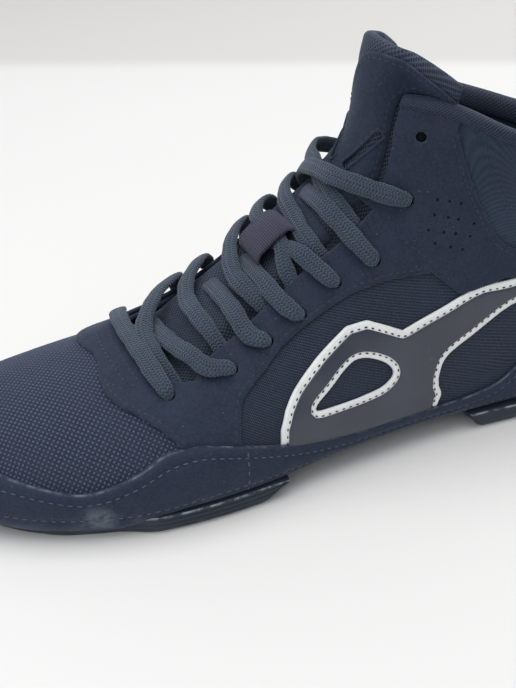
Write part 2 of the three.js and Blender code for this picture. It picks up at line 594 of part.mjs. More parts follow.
// strand from an eyelet across the tongue to the other edge one hole lower, where it goes under
function strand(k, side) {
  const [rowA, angleA] = EYELETS[k];
  const [rowB] = EYELETS[k - 1];
  const from = rowA - 0.06;
  const to = mix(rowB, rowA, k === 6 ? 0.5 : 0.42);
  const free = (k === 6 ? 1.9 : 1.1) + LACE_THICK / 2; // the top pair lies on the patch
  const over = laceOver + 0.25;
  const edge = throatOpen(to) - 3.5;
  const way = (t) => mix(from, to, t);
  return laceBar([
    [from, side * (angleA - 5.5), laceOver], [way(0.1), side * (angleA - 9), over],
    [way(0.24), side * 25, over + 0.3], [way(0.4), side * 13, over + 0.1],
    [way(0.52), side * 2, over - 0.1], [way(0.66), side * -8, over - 0.3],
    [way(0.84), side * -(edge - 7), free + 0.9], [way(1), side * -edge, free],
  ]);
}
const laceCross = (k) => strand(k, 1).add(strand(k, -1));
const first = EYELETS[0];
const firstBar = laceBar([-1, -0.72, -0.42, -0.14, 0.14, 0.42, 0.72, 1].map((t) => {
  const angle = t * (first[1] - 5.5);
  return [first[0] + 0.32 * (1 - t * t), angle, laceOver + 0.5 * (1 - t * t)];
}));

// keeper loop on the tongue, standing over the crossing of the fifth pair
const LOOP_WIDTH = 12;
const LOOP_WALL = 1.1;
const loopHigh = laceOver + 0.25 + LACE_THICK / 2 + 4 * GAP + LOOP_WALL / 2;
const loopLow = -0.4 + 0.4 * GAP;
const loopStops = [
  [8.87, loopLow], [8.91, mix(loopLow, loopHigh, 0.35)], [8.94, mix(loopLow, loopHigh, 0.85)],
  [9.04, loopHigh], [9.42, loopHigh + 0.2],
  [9.80, loopHigh], [9.92, mix(loopLow, loopHigh, 0.85)], [9.96, mix(loopLow, loopHigh, 0.35)],
  [10.02, loopLow],
].map(([row, offset]) => onSkin(row, 1.5, offset));
const laceLoop = toSolid(bar(loopStops.map((p) => p[0]), loopStops.map((p) => p[1]),
  LOOP_WIDTH, LOOP_WALL, 4));

// ---- looks ----
const paint = {
  suede: { color: 0x2c3648, roughness: 0.85, metalness: 0 },
  mesh: { color: 0x1e263c, roughness: 0.95, metalness: 0 },
  gloss: { color: 0x222a3c, roughness: 0.45, metalness: 0 },
  rubber: { color: 0x303848, roughness: 0.7, metalness: 0 },
  lace: { color: 0x465468, roughness: 0.9, metalness: 0 },
  loop: { color: 0x302e4c, roughness: 0.9, metalness: 0 },
  lining: { color: 0x202838, roughness: 0.95, metalness: 0 },
};
const shoe = new THREE.Group();
function add(name, solid, look) {
  const mesh = new THREE.Mesh(toGeometry(solid), new THREE.MeshStandardMaterial(paint[look]));
  mesh.name = name;
  shoe.add(mesh);
}
add("upper", upper, "mesh");
add("rand", rand, "suede");
add("midsole", midsole, "rubber");
add("insole", insole, "lining");
add("outsole_forefoot", forefoot, "rubber");
add("outsole_heel", heel, "rubber");
add("eyestay", eyestay, "suede");
add("ankle_panel_lateral", anklePanel(1), "suede");
add("ankle_panel_medial", anklePanel(-1), "suede");
add("saddle_lateral", saddle(1), "gloss");
add("saddle_medial", saddle(-1), "gloss");
add("heel_counter", counter, "suede");
add("collar_binding", collarBinding, "suede");
add("tongue", tongue, "mesh");
add("tongue_patch", tonguePatch, "suede");
add("lace_loop", laceLoop, "loop");
add("lace_bar_1", firstBar, "lace");
for (let k = 1; k < 7; k++) add(`lace_cross_${k + 1}`, laceCross(k), "lace");

export default shoe;
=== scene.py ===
import math
import bpy, bmesh
import numpy as np
from mathutils import Vector, Matrix, kdtree, bvhtree
from mathutils.geometry import delaunay_2d_cdt


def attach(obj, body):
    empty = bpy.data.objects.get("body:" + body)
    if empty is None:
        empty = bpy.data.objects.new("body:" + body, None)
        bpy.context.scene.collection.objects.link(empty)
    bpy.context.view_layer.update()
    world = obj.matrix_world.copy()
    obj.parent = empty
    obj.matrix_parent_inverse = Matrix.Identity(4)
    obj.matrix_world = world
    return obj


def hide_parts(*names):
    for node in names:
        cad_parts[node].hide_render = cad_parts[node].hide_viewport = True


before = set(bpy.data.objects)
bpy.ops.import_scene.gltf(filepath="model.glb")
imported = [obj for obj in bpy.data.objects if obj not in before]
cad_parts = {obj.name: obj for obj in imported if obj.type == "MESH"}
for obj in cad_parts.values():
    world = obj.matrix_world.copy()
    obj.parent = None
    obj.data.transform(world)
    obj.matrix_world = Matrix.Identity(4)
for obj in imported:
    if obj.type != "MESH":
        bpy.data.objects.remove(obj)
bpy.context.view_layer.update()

# the photo's viewing angle, mm in the part's frame
cameraView = {"target": (111.9, 0.0, 36.7), "azimuth": 157.5, "elevation": 32.1, "distance": 462.0,
              "lens": 62.8, "roll": 0.13}


def placeCamera(s):
    a, e = math.radians(s["azimuth"]), math.radians(s["elevation"])
    back = Vector((math.sin(a) * math.cos(e), -math.cos(a) * math.cos(e), math.sin(e)))
    data = bpy.data.cameras.new("shoeCamera")
    data.lens, data.sensor_width, data.sensor_fit = s["lens"], 36.0, "AUTO"
    data.clip_start, data.clip_end = 0.01, 20.0
    camera = bpy.data.objects.new("shoeCamera", data)
    bpy.context.collection.objects.link(camera)
    camera.location = (Vector(s["target"]) + back * s["distance"]) * 0.001
    turn = (-back).to_track_quat("-Z", "Y").to_matrix() @ Matrix.Rotation(math.radians(s["roll"]), 3, "Z")
    camera.rotation_euler = turn.to_euler()
    bpy.context.scene.camera = camera


placeCamera(cameraView)
print("camera placed")

# the last: one row per section, toe tip first, then along the sole and up the heel past the collar
last = {"length": 285.0, "ball": 94.0, "heel": 69.0, "collar": 134.0, "lift": 5.5, "back": 45.0,
        "wall": 2.0, "gap": 0.3}
sectionTable = np.array([  # xTop zTop xSole zSole lateral medial rear widest roundTop roundSole
    [1.0000, 0.1045, 1.0000, 0.0634, -0.074, -0.074, 0.00, 0.45, 1.00, 1.00],
    [0.9895, 0.1716, 0.9860, 0.0373, 0.138, -0.266, 0.00, 0.42, 1.00, 0.75],
    [0.9614, 0.2313, 0.9509, 0.0187, 0.277, -0.383, 0.00, 0.38, 1.00, 0.58],
    [0.9053, 0.2799, 0.8947, 0.0075, 0.388, -0.452, 0.00, 0.33, 1.00, 0.48],
    [0.8386, 0.3134, 0.8246, 0.0000, 0.468, -0.484, 0.00, 0.30, 1.00, 0.44],
    [0.7684, 0.3470, 0.7474, 0.0000, 0.511, -0.489, 0.00, 0.28, 1.00, 0.42],
    [0.7018, 0.3881, 0.6737, 0.0000, 0.516, -0.468, 0.00, 0.27, 1.00, 0.42],
    [0.6386, 0.4478, 0.5965, 0.0000, 0.495, -0.426, 0.00, 0.26, 1.00, 0.42],
    [0.5860, 0.5112, 0.5193, 0.0075, 0.473, -0.410, 0.15, 0.24, 1.00, 0.42],
    [0.5404, 0.5821, 0.4421, 0.0149, 0.473, -0.402, 0.35, 0.23, 0.95, 0.42],
    [0.5018, 0.6493, 0.3614, 0.0149, 0.496, -0.431, 0.70, 0.22, 0.92, 0.42],
    [0.4702, 0.7164, 0.2737, 0.0075, 0.529, -0.478, 1.00, 0.22, 0.92, 0.42],
    [0.4474, 0.7761, 0.1825, 0.0000, 0.522, -0.486, 1.00, 0.23, 0.92, 0.45],
    [0.4298, 0.8358, 0.0947, 0.0000, 0.514, -0.486, 1.00, 0.27, 0.92, 0.50],
    [0.4175, 0.8955, 0.0281, 0.0485, 0.500, -0.478, 1.00, 0.33, 0.94, 0.62],
    [0.4070, 0.9552, 0.0070, 0.2127, 0.478, -0.471, 1.00, 0.42, 0.97, 0.85],
    [0.4000, 1.0149, 0.0140, 0.3918, 0.478, -0.464, 1.00, 0.48, 1.00, 1.00],
    [0.3930, 1.0746, 0.0281, 0.5858, 0.493, -0.478, 1.00, 0.50, 1.00, 1.00],
    [0.3860, 1.1343, 0.0316, 0.7500, 0.507, -0.493, 1.00, 0.50, 1.00, 1.00],
    [0.3789, 1.2015, 0.0246, 0.9142, 0.522, -0.522, 1.00, 0.50, 1.00, 1.00],
    [0.3719, 1.2761, 0.0175, 1.0784, 0.536, -0.536, 1.00, 0.50, 1.00, 1.00],
])
lastRow = len(sectionTable) - 1


def mixTo(a, b, t):
    return a + (b - a) * t


def ease(low, high, v):
    t = np.clip((np.asarray(v, float) - low) / (high - low), 0, 1)
    return t * t * (3 - 2 * t)


sized = np.empty((lastRow + 1, 9))
sized[:, 0] = sectionTable[:, 0] * last["length"] - last["back"]
sized[:, 1] = sectionTable[:, 1] * last["collar"]
sized[:, 2] = sectionTable[:, 2] * last["length"] - last["back"]
sized[:, 3] = last["lift"] + sectionTable[:, 3] * last["collar"]
sized[:, 4:6] = sectionTable[:, 4:6] * mixTo(last["ball"], last["heel"], sectionTable[:, 6])[:, None]
sized[:, 6:] = sectionTable[:, 7:]
beyondTip = sized[1][[2, 3, 0, 1, 5, 4, 6, 7, 8]]  # the first section turned over, so the tip is round
padded = np.vstack([beyondTip, sized, 2 * sized[-1] - sized[-2]])


def section(row):
    r = np.clip(row, 0, lastRow)
    i = np.minimum(np.floor(r).astype(int), lastRow - 1)
    t = (r - i)[..., None]
    a, b, c, d = padded[i], padded[i + 1], padded[i + 2], padded[i + 3]
    return 0.5 * (2 * b + (c - a) * t + (2 * a - 5 * b + 4 * c - d) * t * t +
                  (3 * b - a - 3 * c + d) * t ** 3)


def lastPoint(row, angle):  # angle 0 top line, 90 lateral, 180 sole or heel, -90 medial
    row, angle = np.broadcast_arrays(np.asarray(row, float), np.asarray(angle, float))
    q = section(row)
    c, s = np.cos(np.radians(angle)), np.sin(np.radians(angle))
    power = np.where(c > 0, q[..., 7], q[..., 8])
    y = (q[..., 4] + q[..., 5]) / 2 + (q[..., 4] - q[..., 5]) / 2 * np.sign(s) * np.abs(s) ** power
    lean = np.abs(c) ** power
    up = np.where(c > 0, mixTo(q[..., 6], 1, lean), q[..., 6] * (1 - lean))
    return np.stack([mixTo(q[..., 2], q[..., 0], up), y, mixTo(q[..., 3], q[..., 1], up)], -1)


def outward(row, angle):
    row, angle = np.asarray(row, float), np.asarray(angle, float)
    along = lastPoint(np.minimum(row + 0.05, lastRow), angle) - lastPoint(row - 0.05, angle)
    around = lastPoint(row, angle + 2) - lastPoint(row, angle - 2)
    n = np.cross(around, along)
    return n / np.linalg.norm(n, axis=-1, keepdims=True)


# main creases and swells: row, angle, half length and half width in mm, turn, depth in mm
creases = [
    (5.25, 62, 16, 3.2, 72, -0.55), (5.05, 74, 13, 3.0, 80, 0.40), (6.35, 60, 15, 4.5, 20, -0.50),
    (6.75, 66, 12, 4.0, 30, 0.40), (8.1, 72, 13, 4.0, 62, -0.60), (8.75, 74, 12, 3.6, 60, 0.50),
    (9.5, 70, 12, 3.4, 66, -0.50), (10.9, 62, 15, 4.2, 15, -0.60), (11.6, 66, 15, 4.0, 12, 0.50),
    (12.2, 78, 18, 4.5, 8, -0.70), (13.0, 82, 18, 5.0, 8, 0.60), (13.6, 100, 17, 4.5, 5, -0.70),
    (14.4, 40, 10, 5.0, 85, -0.30), (4.6, 0, 22, 4.0, 90, -0.45), (4.2, 20, 16, 3.5, 80, 0.30),
    (5.3, -64, 15, 3.4, 105, -0.55), (7.4, -66, 14, 4.2, 120, -0.50), (9.3, -70, 13, 3.8, 118, -0.55),
    (11.2, -66, 16, 4.4, 165, -0.60), (12.4, -80, 18, 4.6, 172, -0.70), (13.2, -84, 18, 5.0, 172, 0.55),
    (14.6, 150, 12, 6.0, 90, 0.30), (15.6, 118, 12, 4.0, 30, -0.40), (16.4, -120, 12, 4.0, 150, -0.40),
    (9.2, -19, 42, 8.5, 0, 5.8),  # throat edge standing up under the laces
]


def crease(row, angle):
    total = np.zeros(np.broadcast(row, angle).shape)
    for r0, a0, length, width, turn, depth in creases:
        u = (np.asarray(row) - r0) * 14.0
        v = ((np.asarray(angle) - a0 + 180) % 360 - 180) * 0.72
        c, s = math.cos(math.radians(turn)), math.sin(math.radians(turn))
        p, q = u * c + v * s, -u * s + v * c
        total = total + depth * np.exp(-(p / length) ** 2 - (q / width) ** 2)
    return total


def skin(row, angle, offset=0.0, creased=True):
    row, angle = np.broadcast_arrays(np.asarray(row, float), np.asarray(angle, float))
    lift = np.asarray(offset, float) + (crease(row, angle) if creased else 0)
    return lastPoint(row, angle) + outward(row, angle) * np.asarray(lift)[..., None]


# lengths along and around the last, so that a knit keeps its stitch size
rowSteps, angleSteps = np.arange(0, lastRow + 0.01, 0.05), np.arange(-180, 181, 2.0)
gridPoints = lastPoint(*np.meshgrid(rowSteps, angleSteps, indexing="ij"))
alongLength = np.zeros(gridPoints.shape[:2])
alongLength[1:] = np.cumsum(np.linalg.norm(np.diff(gridPoints, axis=0), axis=-1), axis=0)
alongLength -= alongLength[np.searchsorted(rowSteps, 5.7)][None]
aroundLength = np.zeros(gridPoints.shape[:2])
aroundLength[:, 1:] = np.cumsum(np.linalg.norm(np.diff(gridPoints, axis=1), axis=-1), axis=1)
aroundLength -= aroundLength[:, [90]]


def flow(row, angle):  # along and around in mm
    angle = (np.asarray(angle, float) + 180) % 360 - 180
    i, j = np.clip(np.asarray(row) / 0.05, 0, len(rowSteps) - 1.001), np.clip((angle + 180) / 2, 0, 179.999)
    i0, j0 = np.floor(i).astype(int), np.floor(j).astype(int)
    fi, fj = i - i0, j - j0
    out = []
    for grid in (alongLength, aroundLength):
        out.append((grid[i0, j0] * (1 - fi) + grid[i0 + 1, j0] * fi) * (1 - fj)
                   + (grid[i0, j0 + 1] * (1 - fi) + grid[i0 + 1, j0 + 1] * fi) * fj)
    return np.stack(out, -1)


def onSide(xShare, zShare, side, offset=0.9):  # row and angle where a side-view place meets the skin
    x, z = xShare * last["length"] - last["back"], zShare * last["collar"]
    rows, angles = np.meshgrid(np.arange(0.6, 18, 0.1), np.arange(4, 176, 3.0), indexing="ij")
    p = skin(rows, side * angles, offset, False)
    i, j = np.unravel_index(((p[..., 0] - x) ** 2 + (p[..., 2] - z) ** 2).argmin(), rows.shape)
    r, a = rows[i, j], angles[i, j]
    for _ in range(6):
        p, pr, pa = (skin(np.array(v[0]), np.array(side * v[1]), offset, False)
                     for v in ((r, a), (r + 0.02, a), (r, a + 0.5)))
        jr, ja = (pr - p)[[0, 2]] / 0.02, (pa - p)[[0, 2]] / 0.5
        err = np.array([x, z]) - p[[0, 2]]
        step = np.linalg.lstsq(np.stack([jr, ja], 1), err, rcond=None)[0]
        r = float(np.clip(r + np.clip(step[0], -0.3, 0.3), 0.3, 19))
        a = float(np.clip(a + np.clip(step[1], -6, 6), 0, 180))
    return r, side * a


def smoothLine(points, step, closed=False, sharp=()):  # Catmull-Rom in equal parts, corners kept where sharp
    p = np.array(points, float)
    n = len(p)
    out = []
    for i in range(n if closed else n - 1):
        a, b, c, d = (p[(i + k) % n] if closed else p[min(max(i + k, 0), n - 1)] for k in (-1, 0, 1, 2))
        if i % n in sharp:
            a = 2 * b - c
        if (i + 1) % n in sharp:
            d = 2 * c - b
        t = np.linspace(0, 1, step, endpoint=False)[:, None]
        la, lb, lc = (max(np.linalg.norm(v), 1e-9) ** 0.5 for v in (b - a, c - b, d - c))
        m0 = (c - b) * 0 + ((b - a) / la - (c - a) / (la + lb) + (c - b) / lb) * lb
        m1 = ((c - b) / lb - (d - b) / (lb + lc) + (d - c) / lc) * lb
        out.append((2 * t ** 3 - 3 * t ** 2 + 1) * b + (t ** 3 - 2 * t ** 2 + t) * m0
                   + (-2 * t ** 3 + 3 * t ** 2) * c + (t ** 3 - t ** 2) * m1)
    if not closed:
        out.append(p[-1:])
    return np.vstack(out)


def evenLine(line, step, closed=False, place=None):  # spaced by length over the last
    line = np.asarray(line, float)
    if closed:
        line = np.vstack([line, line[:1]])
    p = skin(line[:, 0], line[:, 1], 0, False) if place is None else place(line)
    s = lengthsAlong(p)
    n = max(int(round(s[-1] / step)), 3)
    at = np.linspace(0, s[-1], n + 1)
    out = np.stack([np.interp(at, s, line[:, k]) for k in range(line.shape[1])], 1)
    return out[:-1] if closed else out


def shifted(row, angle, vector):  # row and angle after a small move in mm along the skin
    p = skin(row, angle, 0, False)
    jr = (skin(row + 0.03, angle, 0, False) - p) / 0.03
    ja = (skin(row, angle + 1.0, 0, False) - p)
    rr, ra, aa = (jr * jr).sum(-1), (jr * ja).sum(-1), (ja * ja).sum(-1)
    br, ba = (jr * vector).sum(-1), (ja * vector).sum(-1)
    det = rr * aa - ra * ra
    return row + (br * aa - ba * ra) / det, angle + (ba * rr - br * ra) / det


def inward(line, closed=True):  # unit direction in the skin, to the inside of a closed line
    line = np.asarray(line, float)
    p = skin(line[:, 0], line[:, 1], 0, False)
    t = np.roll(p, -1, 0) - np.roll(p, 1, 0)
    if not closed:
        t[0], t[-1] = p[1] - p[0], p[-1] - p[-2]
    t /= np.linalg.norm(t, axis=1, keepdims=True)
    u, v = line[:, 0] * 12, line[:, 1] * 0.7
    area = (u * np.roll(v, -1) - v * np.roll(u, -1)).sum()
    side = np.cross(outward(line[:, 0], line[:, 1]), t)
    probe = shifted(line[:, 0], line[:, 1], side)
    turn = (np.roll(u, -1) - u) * (probe[1] * 0.7 - v) - (np.roll(v, -1) - v) * (probe[0] * 12 - u)
    return side * np.sign(np.median(turn) * area)


def lengthsAlong(points):
    return np.concatenate([[0], np.cumsum(np.linalg.norm(np.diff(points, axis=0), axis=1))])


def inside(points, loop):  # even-odd test
    x, y = points[:, 0][:, None], points[:, 1][:, None]
    x1, y1 = loop[:, 0][None], loop[:, 1][None]
    x2, y2 = np.roll(x1, -1, 1), np.roll(y1, -1, 1)
    hit = ((y1 > y) != (y2 > y)) & (x < (x2 - x1) * (y - y1) / np.where(y2 == y1, 1e-12, y2 - y1) + x1)
    return hit.sum(1) % 2 == 1


# shader maths
class Term:
    def __init__(self, look, socket):
        self.look, self.socket = look, socket

    def math(self, operation, *others, clamp=False):
        node = self.look.tree.nodes.new("ShaderNodeMath")
        node.operation, node.use_clamp = operation, clamp
        for k, value in enumerate((self, *others)):
            self.look.feed(node.inputs[k], value)
        return Term(self.look, node.outputs[0])

    def __add__(self, other): return self.math("ADD", other)
    def __radd__(self, other): return self.math("ADD", other)
    def __sub__(self, other): return self.math("SUBTRACT", other)
    def __rsub__(self, other): return self.look.number(other).math("SUBTRACT", self)
    def __mul__(self, other): return self.math("MULTIPLY", other)
    def __rmul__(self, other): return self.math("MULTIPLY", other)
    def __truediv__(self, other): return self.math("DIVIDE", other)
    def clip(self): return self.math("ADD", 0.0, clamp=True)


class Look:
    def __init__(self, name):
        self.material = bpy.data.materials.new(name)
        self.material.use_nodes = True
        self.tree = self.material.node_tree
        self.shader = next(n for n in self.tree.nodes if n.type == "BSDF_PRINCIPLED")

    def feed(self, socket, value):
        if isinstance(value, Term):
            self.tree.links.new(value.socket, socket)
        elif hasattr(value, "is_linked"):
            self.tree.links.new(value, socket)
        elif isinstance(value, (tuple, list)) and len(value) == 3 and socket.type == "RGBA":
            socket.default_value = (*value, 1.0)
        else:
            socket.default_value = value

    def node(self, kind, settings=None, inputs=None, out=0):
        node = self.tree.nodes.new("ShaderNode" + kind)
        for key, value in (settings or {}).items():
            if key == "stops":
                ramp = node.color_ramp
                while len(ramp.elements) < len(value):
                    ramp.elements.new(0.5)
                for stop, (place, colour) in zip(ramp.elements, value):
                    stop.position, stop.color = place, (*colour, 1.0)
            else:
                setattr(node, key, value)
        for key, value in (inputs or {}).items():
            self.feed(node.inputs[key], value)
        return Term(self, node.outputs[out])

    def number(self, value):
        return self.node("Math", {"operation": "ADD"}, {0: value, 1: 0.0})

    def place(self):
        return self.node("TexCoord", out=3)

    def split(self, vector):
        node = self.tree.nodes.new("ShaderNodeSeparateXYZ")
        self.feed(node.inputs[0], vector)
        return [Term(self, node.outputs[k]) for k in range(3)]

    def uv(self, name="flow"):
        return self.split(self.node("UVMap", {"uv_map": name}))

    def attribute(self, name):
        return self.node("Attribute", {"attribute_name": name}, out=2)

    def noise(self, scale, detail=3.0, rough=0.5, vector=None, dimensions="3D"):
        return self.node("TexNoise", {"noise_dimensions": dimensions}, {"Vector": vector or self.place(),
                         "Scale": scale, "Detail": detail, "Roughness": rough})

    def ramp(self, value, low, high):
        return self.node("MapRange", {"interpolation_type": "SMOOTHSTEP"},
                         {"Value": value, "From Min": low, "From Max": high})

    def blend(self, factor, a, b):
        node = self.tree.nodes.new("ShaderNodeMix")
        node.data_type = "RGBA"
        self.feed(node.inputs[0], factor)
        self.feed(node.inputs[6], a)
        self.feed(node.inputs[7], b)
        return Term(self, node.outputs[2])

    def wear(self, height, distance, strength=1.0, normal=None):
        inputs = {"Height": height, "Distance": distance, "Strength": strength}
        if normal is not None:
            inputs["Normal"] = normal
        return self.node("Bump", None, inputs)

    def finish(self, colour, roughness, normal=None, fixed=None):
        self.feed(self.shader.inputs["Base Color"], colour)
        self.feed(self.shader.inputs["Roughness"], roughness)
        if normal is not None:
            self.feed(self.shader.inputs["Normal"], normal)
        for key, value in (fixed or {}).items():
            self.feed(self.shader.inputs[key], value)
        return self.material


suedeSettings = {"deep": (0.0074, 0.0132, 0.0300), "light": (0.0162, 0.0252, 0.0485),
                 "fleck": (0.20, 0.23, 0.28), "edge": (0.115, 0.135, 0.165), "sheen": 0.14}


def suedeLook(name, s, tint=1.0, edge=0.5, dust=0.0):
    look = Look(name)
    nap = look.noise(2600, 2.0, 0.6)
    grain = look.noise(900, 3.0, 0.6)
    cloud = look.noise(42, 3.0, 0.55)
    stroke = look.noise(150, 3.0, 0.6)
    tone = (cloud * 0.55 + stroke * 0.45 + (nap - 0.5) * 1.1 + (grain - 0.5) * 0.8).clip()
    deep, light = ([c * tint for c in s[k]] for k in ("deep", "light"))
    colour = look.blend(look.ramp(tone, 0.28, 0.72), tuple(deep), tuple(light))
    fleck = look.node("TexVoronoi", {"feature": "F1"}, {"Vector": look.place(), "Scale": 620.0})
    speck = look.ramp(fleck, 0.16, 0.08) * look.ramp(look.noise(260, 1.0), 0.62, 0.70)
    colour = look.blend(speck * 0.5, colour, s["fleck"])
    if edge:
        rim = look.ramp(look.attribute("rim"), 0.55, 0.05) * look.ramp(look.noise(330, 3.0), 0.35, 0.7)
        colour = look.blend(rim * edge, colour, s["edge"])
    if dust:
        z = look.split(look.place())[2]
        low = look.ramp(z, 0.016, 0.004) * look.ramp(look.noise(120, 4.0, 0.65), 0.42, 0.75)
        spot = look.node("VectorMath", {"operation": "DISTANCE"}, {0: look.place(), 1: dustSpot}, out=1)
        patch = look.ramp(spot, 0.0085, 0.002) * look.ramp(look.noise(420, 4.0, 0.7), 0.30, 0.62)
        colour = look.blend((low * 0.35 * dust + patch * 0.6).clip(), colour, (0.14, 0.16, 0.19))
    height = nap * 0.6 + grain * 0.8 + stroke * 0.5
    rough = 0.80 + (cloud - 0.5) * 0.16
    return look.finish(colour, rough, look.wear(height, 0.00024, 0.85),
                       {"Sheen Weight": s["sheen"], "Sheen Roughness": 0.45,
                        "Sheen Tint": (0.55, 0.65, 0.85, 1.0), "Specular IOR Level": 0.32})


knitSettings = {  # yarn colours, pitch in mm, yarn grain per m, bump in m
    "vamp": {"deep": (0.0046, 0.0080, 0.023), "light": (0.088, 0.122, 0.200), "pitch": 1.12, "yarn": 1500,
             "bump": 0.00040},
    "side": {"deep": (0.0024, 0.0048, 0.014), "light": (0.054, 0.078, 0.130), "yarn": 1300, "bump": 0.00036},
    "rib": {"deep": (0.0028, 0.0066, 0.019), "light": (0.060, 0.100, 0.165), "pitch": 1.15, "yarn": 1400,
            "bump": 0.00030},
    "honeycomb": {"deep": (0.0035, 0.0050, 0.011), "light": (0.043, 0.058, 0.094), "yarn": 1300,
                  "bump": 0.00034},
}


def knitLook(name, kind):
    look, s = Look(name), knitSettings[kind]
    u, v, _ = look.uv("flowBack" if kind == "rib" else "flow")
    yarn = look.noise(s["yarn"], 2.0, 0.6)
    if kind == "vamp":  # raised staggered dots over a fine knit
        du = look.node("Math", {"operation": "PINGPONG"}, {0: u, 1: s["pitch"]})
        dv = look.node("Math", {"operation": "PINGPONG"}, {0: v, 1: s["pitch"]})
        even = (du / s["pitch"]).math("POWER", 2.0) + (dv / s["pitch"]).math("POWER", 2.0)
        odd = (1 - du / s["pitch"]).math("POWER", 2.0) + (1 - dv / s["pitch"]).math("POWER", 2.0)
        dot = look.ramp(even.math("MINIMUM", odd), 0.26, 0.02)
        fineU = (u * (2 * math.pi / 0.56)).math("SINE")
        fineV = (v * (2 * math.pi / 0.62)).math("SINE")
        fine = (fineU * fineV) * 0.5 + 0.5
        tone = (dot * 0.70 + fine * 0.26 - 0.06 + (yarn - 0.5) * 0.6).clip()
        height = dot * 1.0 + fine * 0.40 + yarn * 0.25
    elif kind == "side":  # close square knit with darker ground
        cellU = look.node("Math", {"operation": "PINGPONG"}, {0: u + v * 0.18, 1: 0.62}) / 0.62
        cellV = look.node("Math", {"operation": "PINGPONG"}, {0: v, 1: 0.50}) / 0.50
        dot = (cellU * cellV + (1 - cellU) * (1 - cellV)) * 1.0
        tone = (look.ramp(dot, 0.42, 0.85) * 0.75 + (yarn - 0.42) * 0.55).clip()
        height = dot * 0.9 + yarn * 0.4
    elif kind == "rib":  # fine diagonal ribs
        wale = ((u * 0.80 + v * 0.60) * (2 * math.pi / s["pitch"])).math("SINE") * 0.5 + 0.5
        cross = ((v * 0.8 - u * 0.6) * (2 * math.pi / 0.66)).math("SINE") * 0.5 + 0.5
        tone = (wale * 0.6 + cross * 0.22 + (yarn - 0.5) * 0.5).clip()
        height = wale * 1.0 + cross * 0.3 + yarn * 0.2
    else:  # open honeycomb of the tongue and the lining
        cellU = look.node("Math", {"operation": "PINGPONG"}, {0: u, 1: 0.95}) / 0.95
        cellV = look.node("Math", {"operation": "PINGPONG"}, {0: v, 1: 0.72}) / 0.72
        even = cellU.math("POWER", 2.0) + cellV.math("POWER", 2.0)
        odd = (1 - cellU).math("POWER", 2.0) + (1 - cellV).math("POWER", 2.0)
        hole = look.ramp(even.math("MINIMUM", odd), 0.36, 0.12)
        tone = ((1 - hole) * 0.75 + (yarn - 0.45) * 0.5).clip()
        height = 1.2 - hole * 1.2 + yarn * 0.25
    colour = look.blend(tone, s["deep"], s["light"])
    cloud = look.noise(60, 3.0)
    colour = look.blend(look.ramp(cloud, 0.35, 0.7) * 0.25, colour, (0.018, 0.026, 0.050))
    return look.finish(colour, 0.74, look.wear(height, s["bump"], 0.9),
                       {"Sheen Weight": 0.16, "Sheen Roughness": 0.35, "Sheen Tint": (0.5, 0.62, 0.95, 1.0),
                        "Specular IOR Level": 0.35})


braidSettings = {"deep": (0.0085, 0.0150, 0.026), "light": (0.064, 0.090, 0.128), "pitch": 1.18, "fold": 0.80,
                 "bump": 0.00036}


def laceLook(s):
    look = Look("laceBraid")
    u, v, _ = look.uv()
    fold = look.node("Math", {"operation": "PINGPONG"}, {0: v + 20.05, 1: s["fold"]})
    wave = ((u + fold * 0.95) * (2 * math.pi / s["pitch"])).math("SINE") * 0.5 + 0.5
    strand = ((fold / s["fold"]) * math.pi).math("SINE")
    yarn = look.noise(1700, 2.0, 0.65)
    cloud = look.noise(90, 2.0)
    tone = (wave * 0.42 + strand * 0.22 + (yarn - 0.5) * 0.9 + (cloud - 0.5) * 0.35 + 0.08).clip()
    colour = look.blend(tone, s["deep"], s["light"])
    height = wave * 1.0 + strand * 0.4 + yarn * 0.35
    return look.finish(colour, 0.82, look.wear(height, s["bump"], 0.95),
                       {"Sheen Weight": 0.25, "Sheen Roughness": 0.4, "Sheen Tint": (0.7, 0.78, 0.9, 1.0),
                        "Specular IOR Level": 0.3})


glossSettings = {"deep": (0.0090, 0.0145, 0.0300), "light": (0.0160, 0.0240, 0.0450),
                 "scuff": (0.12, 0.14, 0.18), "coat": 0.35, "coatRoughness": 0.22}


def glossLook(s):
    look = Look("saddleGloss")
    cloud = look.noise(48, 3.0)
    fine = look.noise(1500, 2.0)
    pebble = look.node("TexVoronoi", {"feature": "F1"}, {"Vector": look.place(), "Scale": 1500.0})
    colour = look.blend(look.ramp(cloud, 0.3, 0.7), s["deep"], s["light"])
    scuff = look.ramp(look.noise(300, 4.0, 0.7), 0.66, 0.74)
    colour = look.blend(scuff * 0.18, colour, s["scuff"])
    return look.finish(colour, 0.34 + scuff * 0.2 + fine * 0.06,
                       look.wear(pebble * 0.5 + cloud * 2.0 + look.noise(140, 3.0) * 1.2, 0.00018, 0.6),
                       {"Specular IOR Level": 0.6, "Coat Weight": s["coat"],
                        "Coat Roughness": s["coatRoughness"]})


edgingSettings = {"deep": (0.66, 0.67, 0.66), "light": (0.78, 0.79, 0.78), "grime": (0.36, 0.38, 0.42),
                  "rim": (0.30, 0.33, 0.38)}


def edgingLook(s):
    look = Look("paleEdging")
    cloud, fine = look.noise(130, 3.0), look.noise(1300, 3.0)
    grime = look.ramp(look.noise(240, 4.0, 0.7), 0.50, 0.72)
    colour = look.blend(cloud, s["deep"], s["light"])
    colour = look.blend(grime * 0.22, colour, s["grime"])
    rim = look.ramp(look.attribute("rim"), 0.32, 0.02)
    colour = look.blend(rim * 0.30, colour, s["rim"])
    return look.finish(colour, 0.42, look.wear(fine * 0.6 + cloud, 0.00015, 0.6),
                       {"Specular IOR Level": 0.45})


rubberSettings = {"deep": (0.0110, 0.0165, 0.0290), "light": (0.0200, 0.0275, 0.0430),
                  "worn": (0.26, 0.29, 0.33), "dust": (0.12, 0.13, 0.15), "tread": 0.0024}


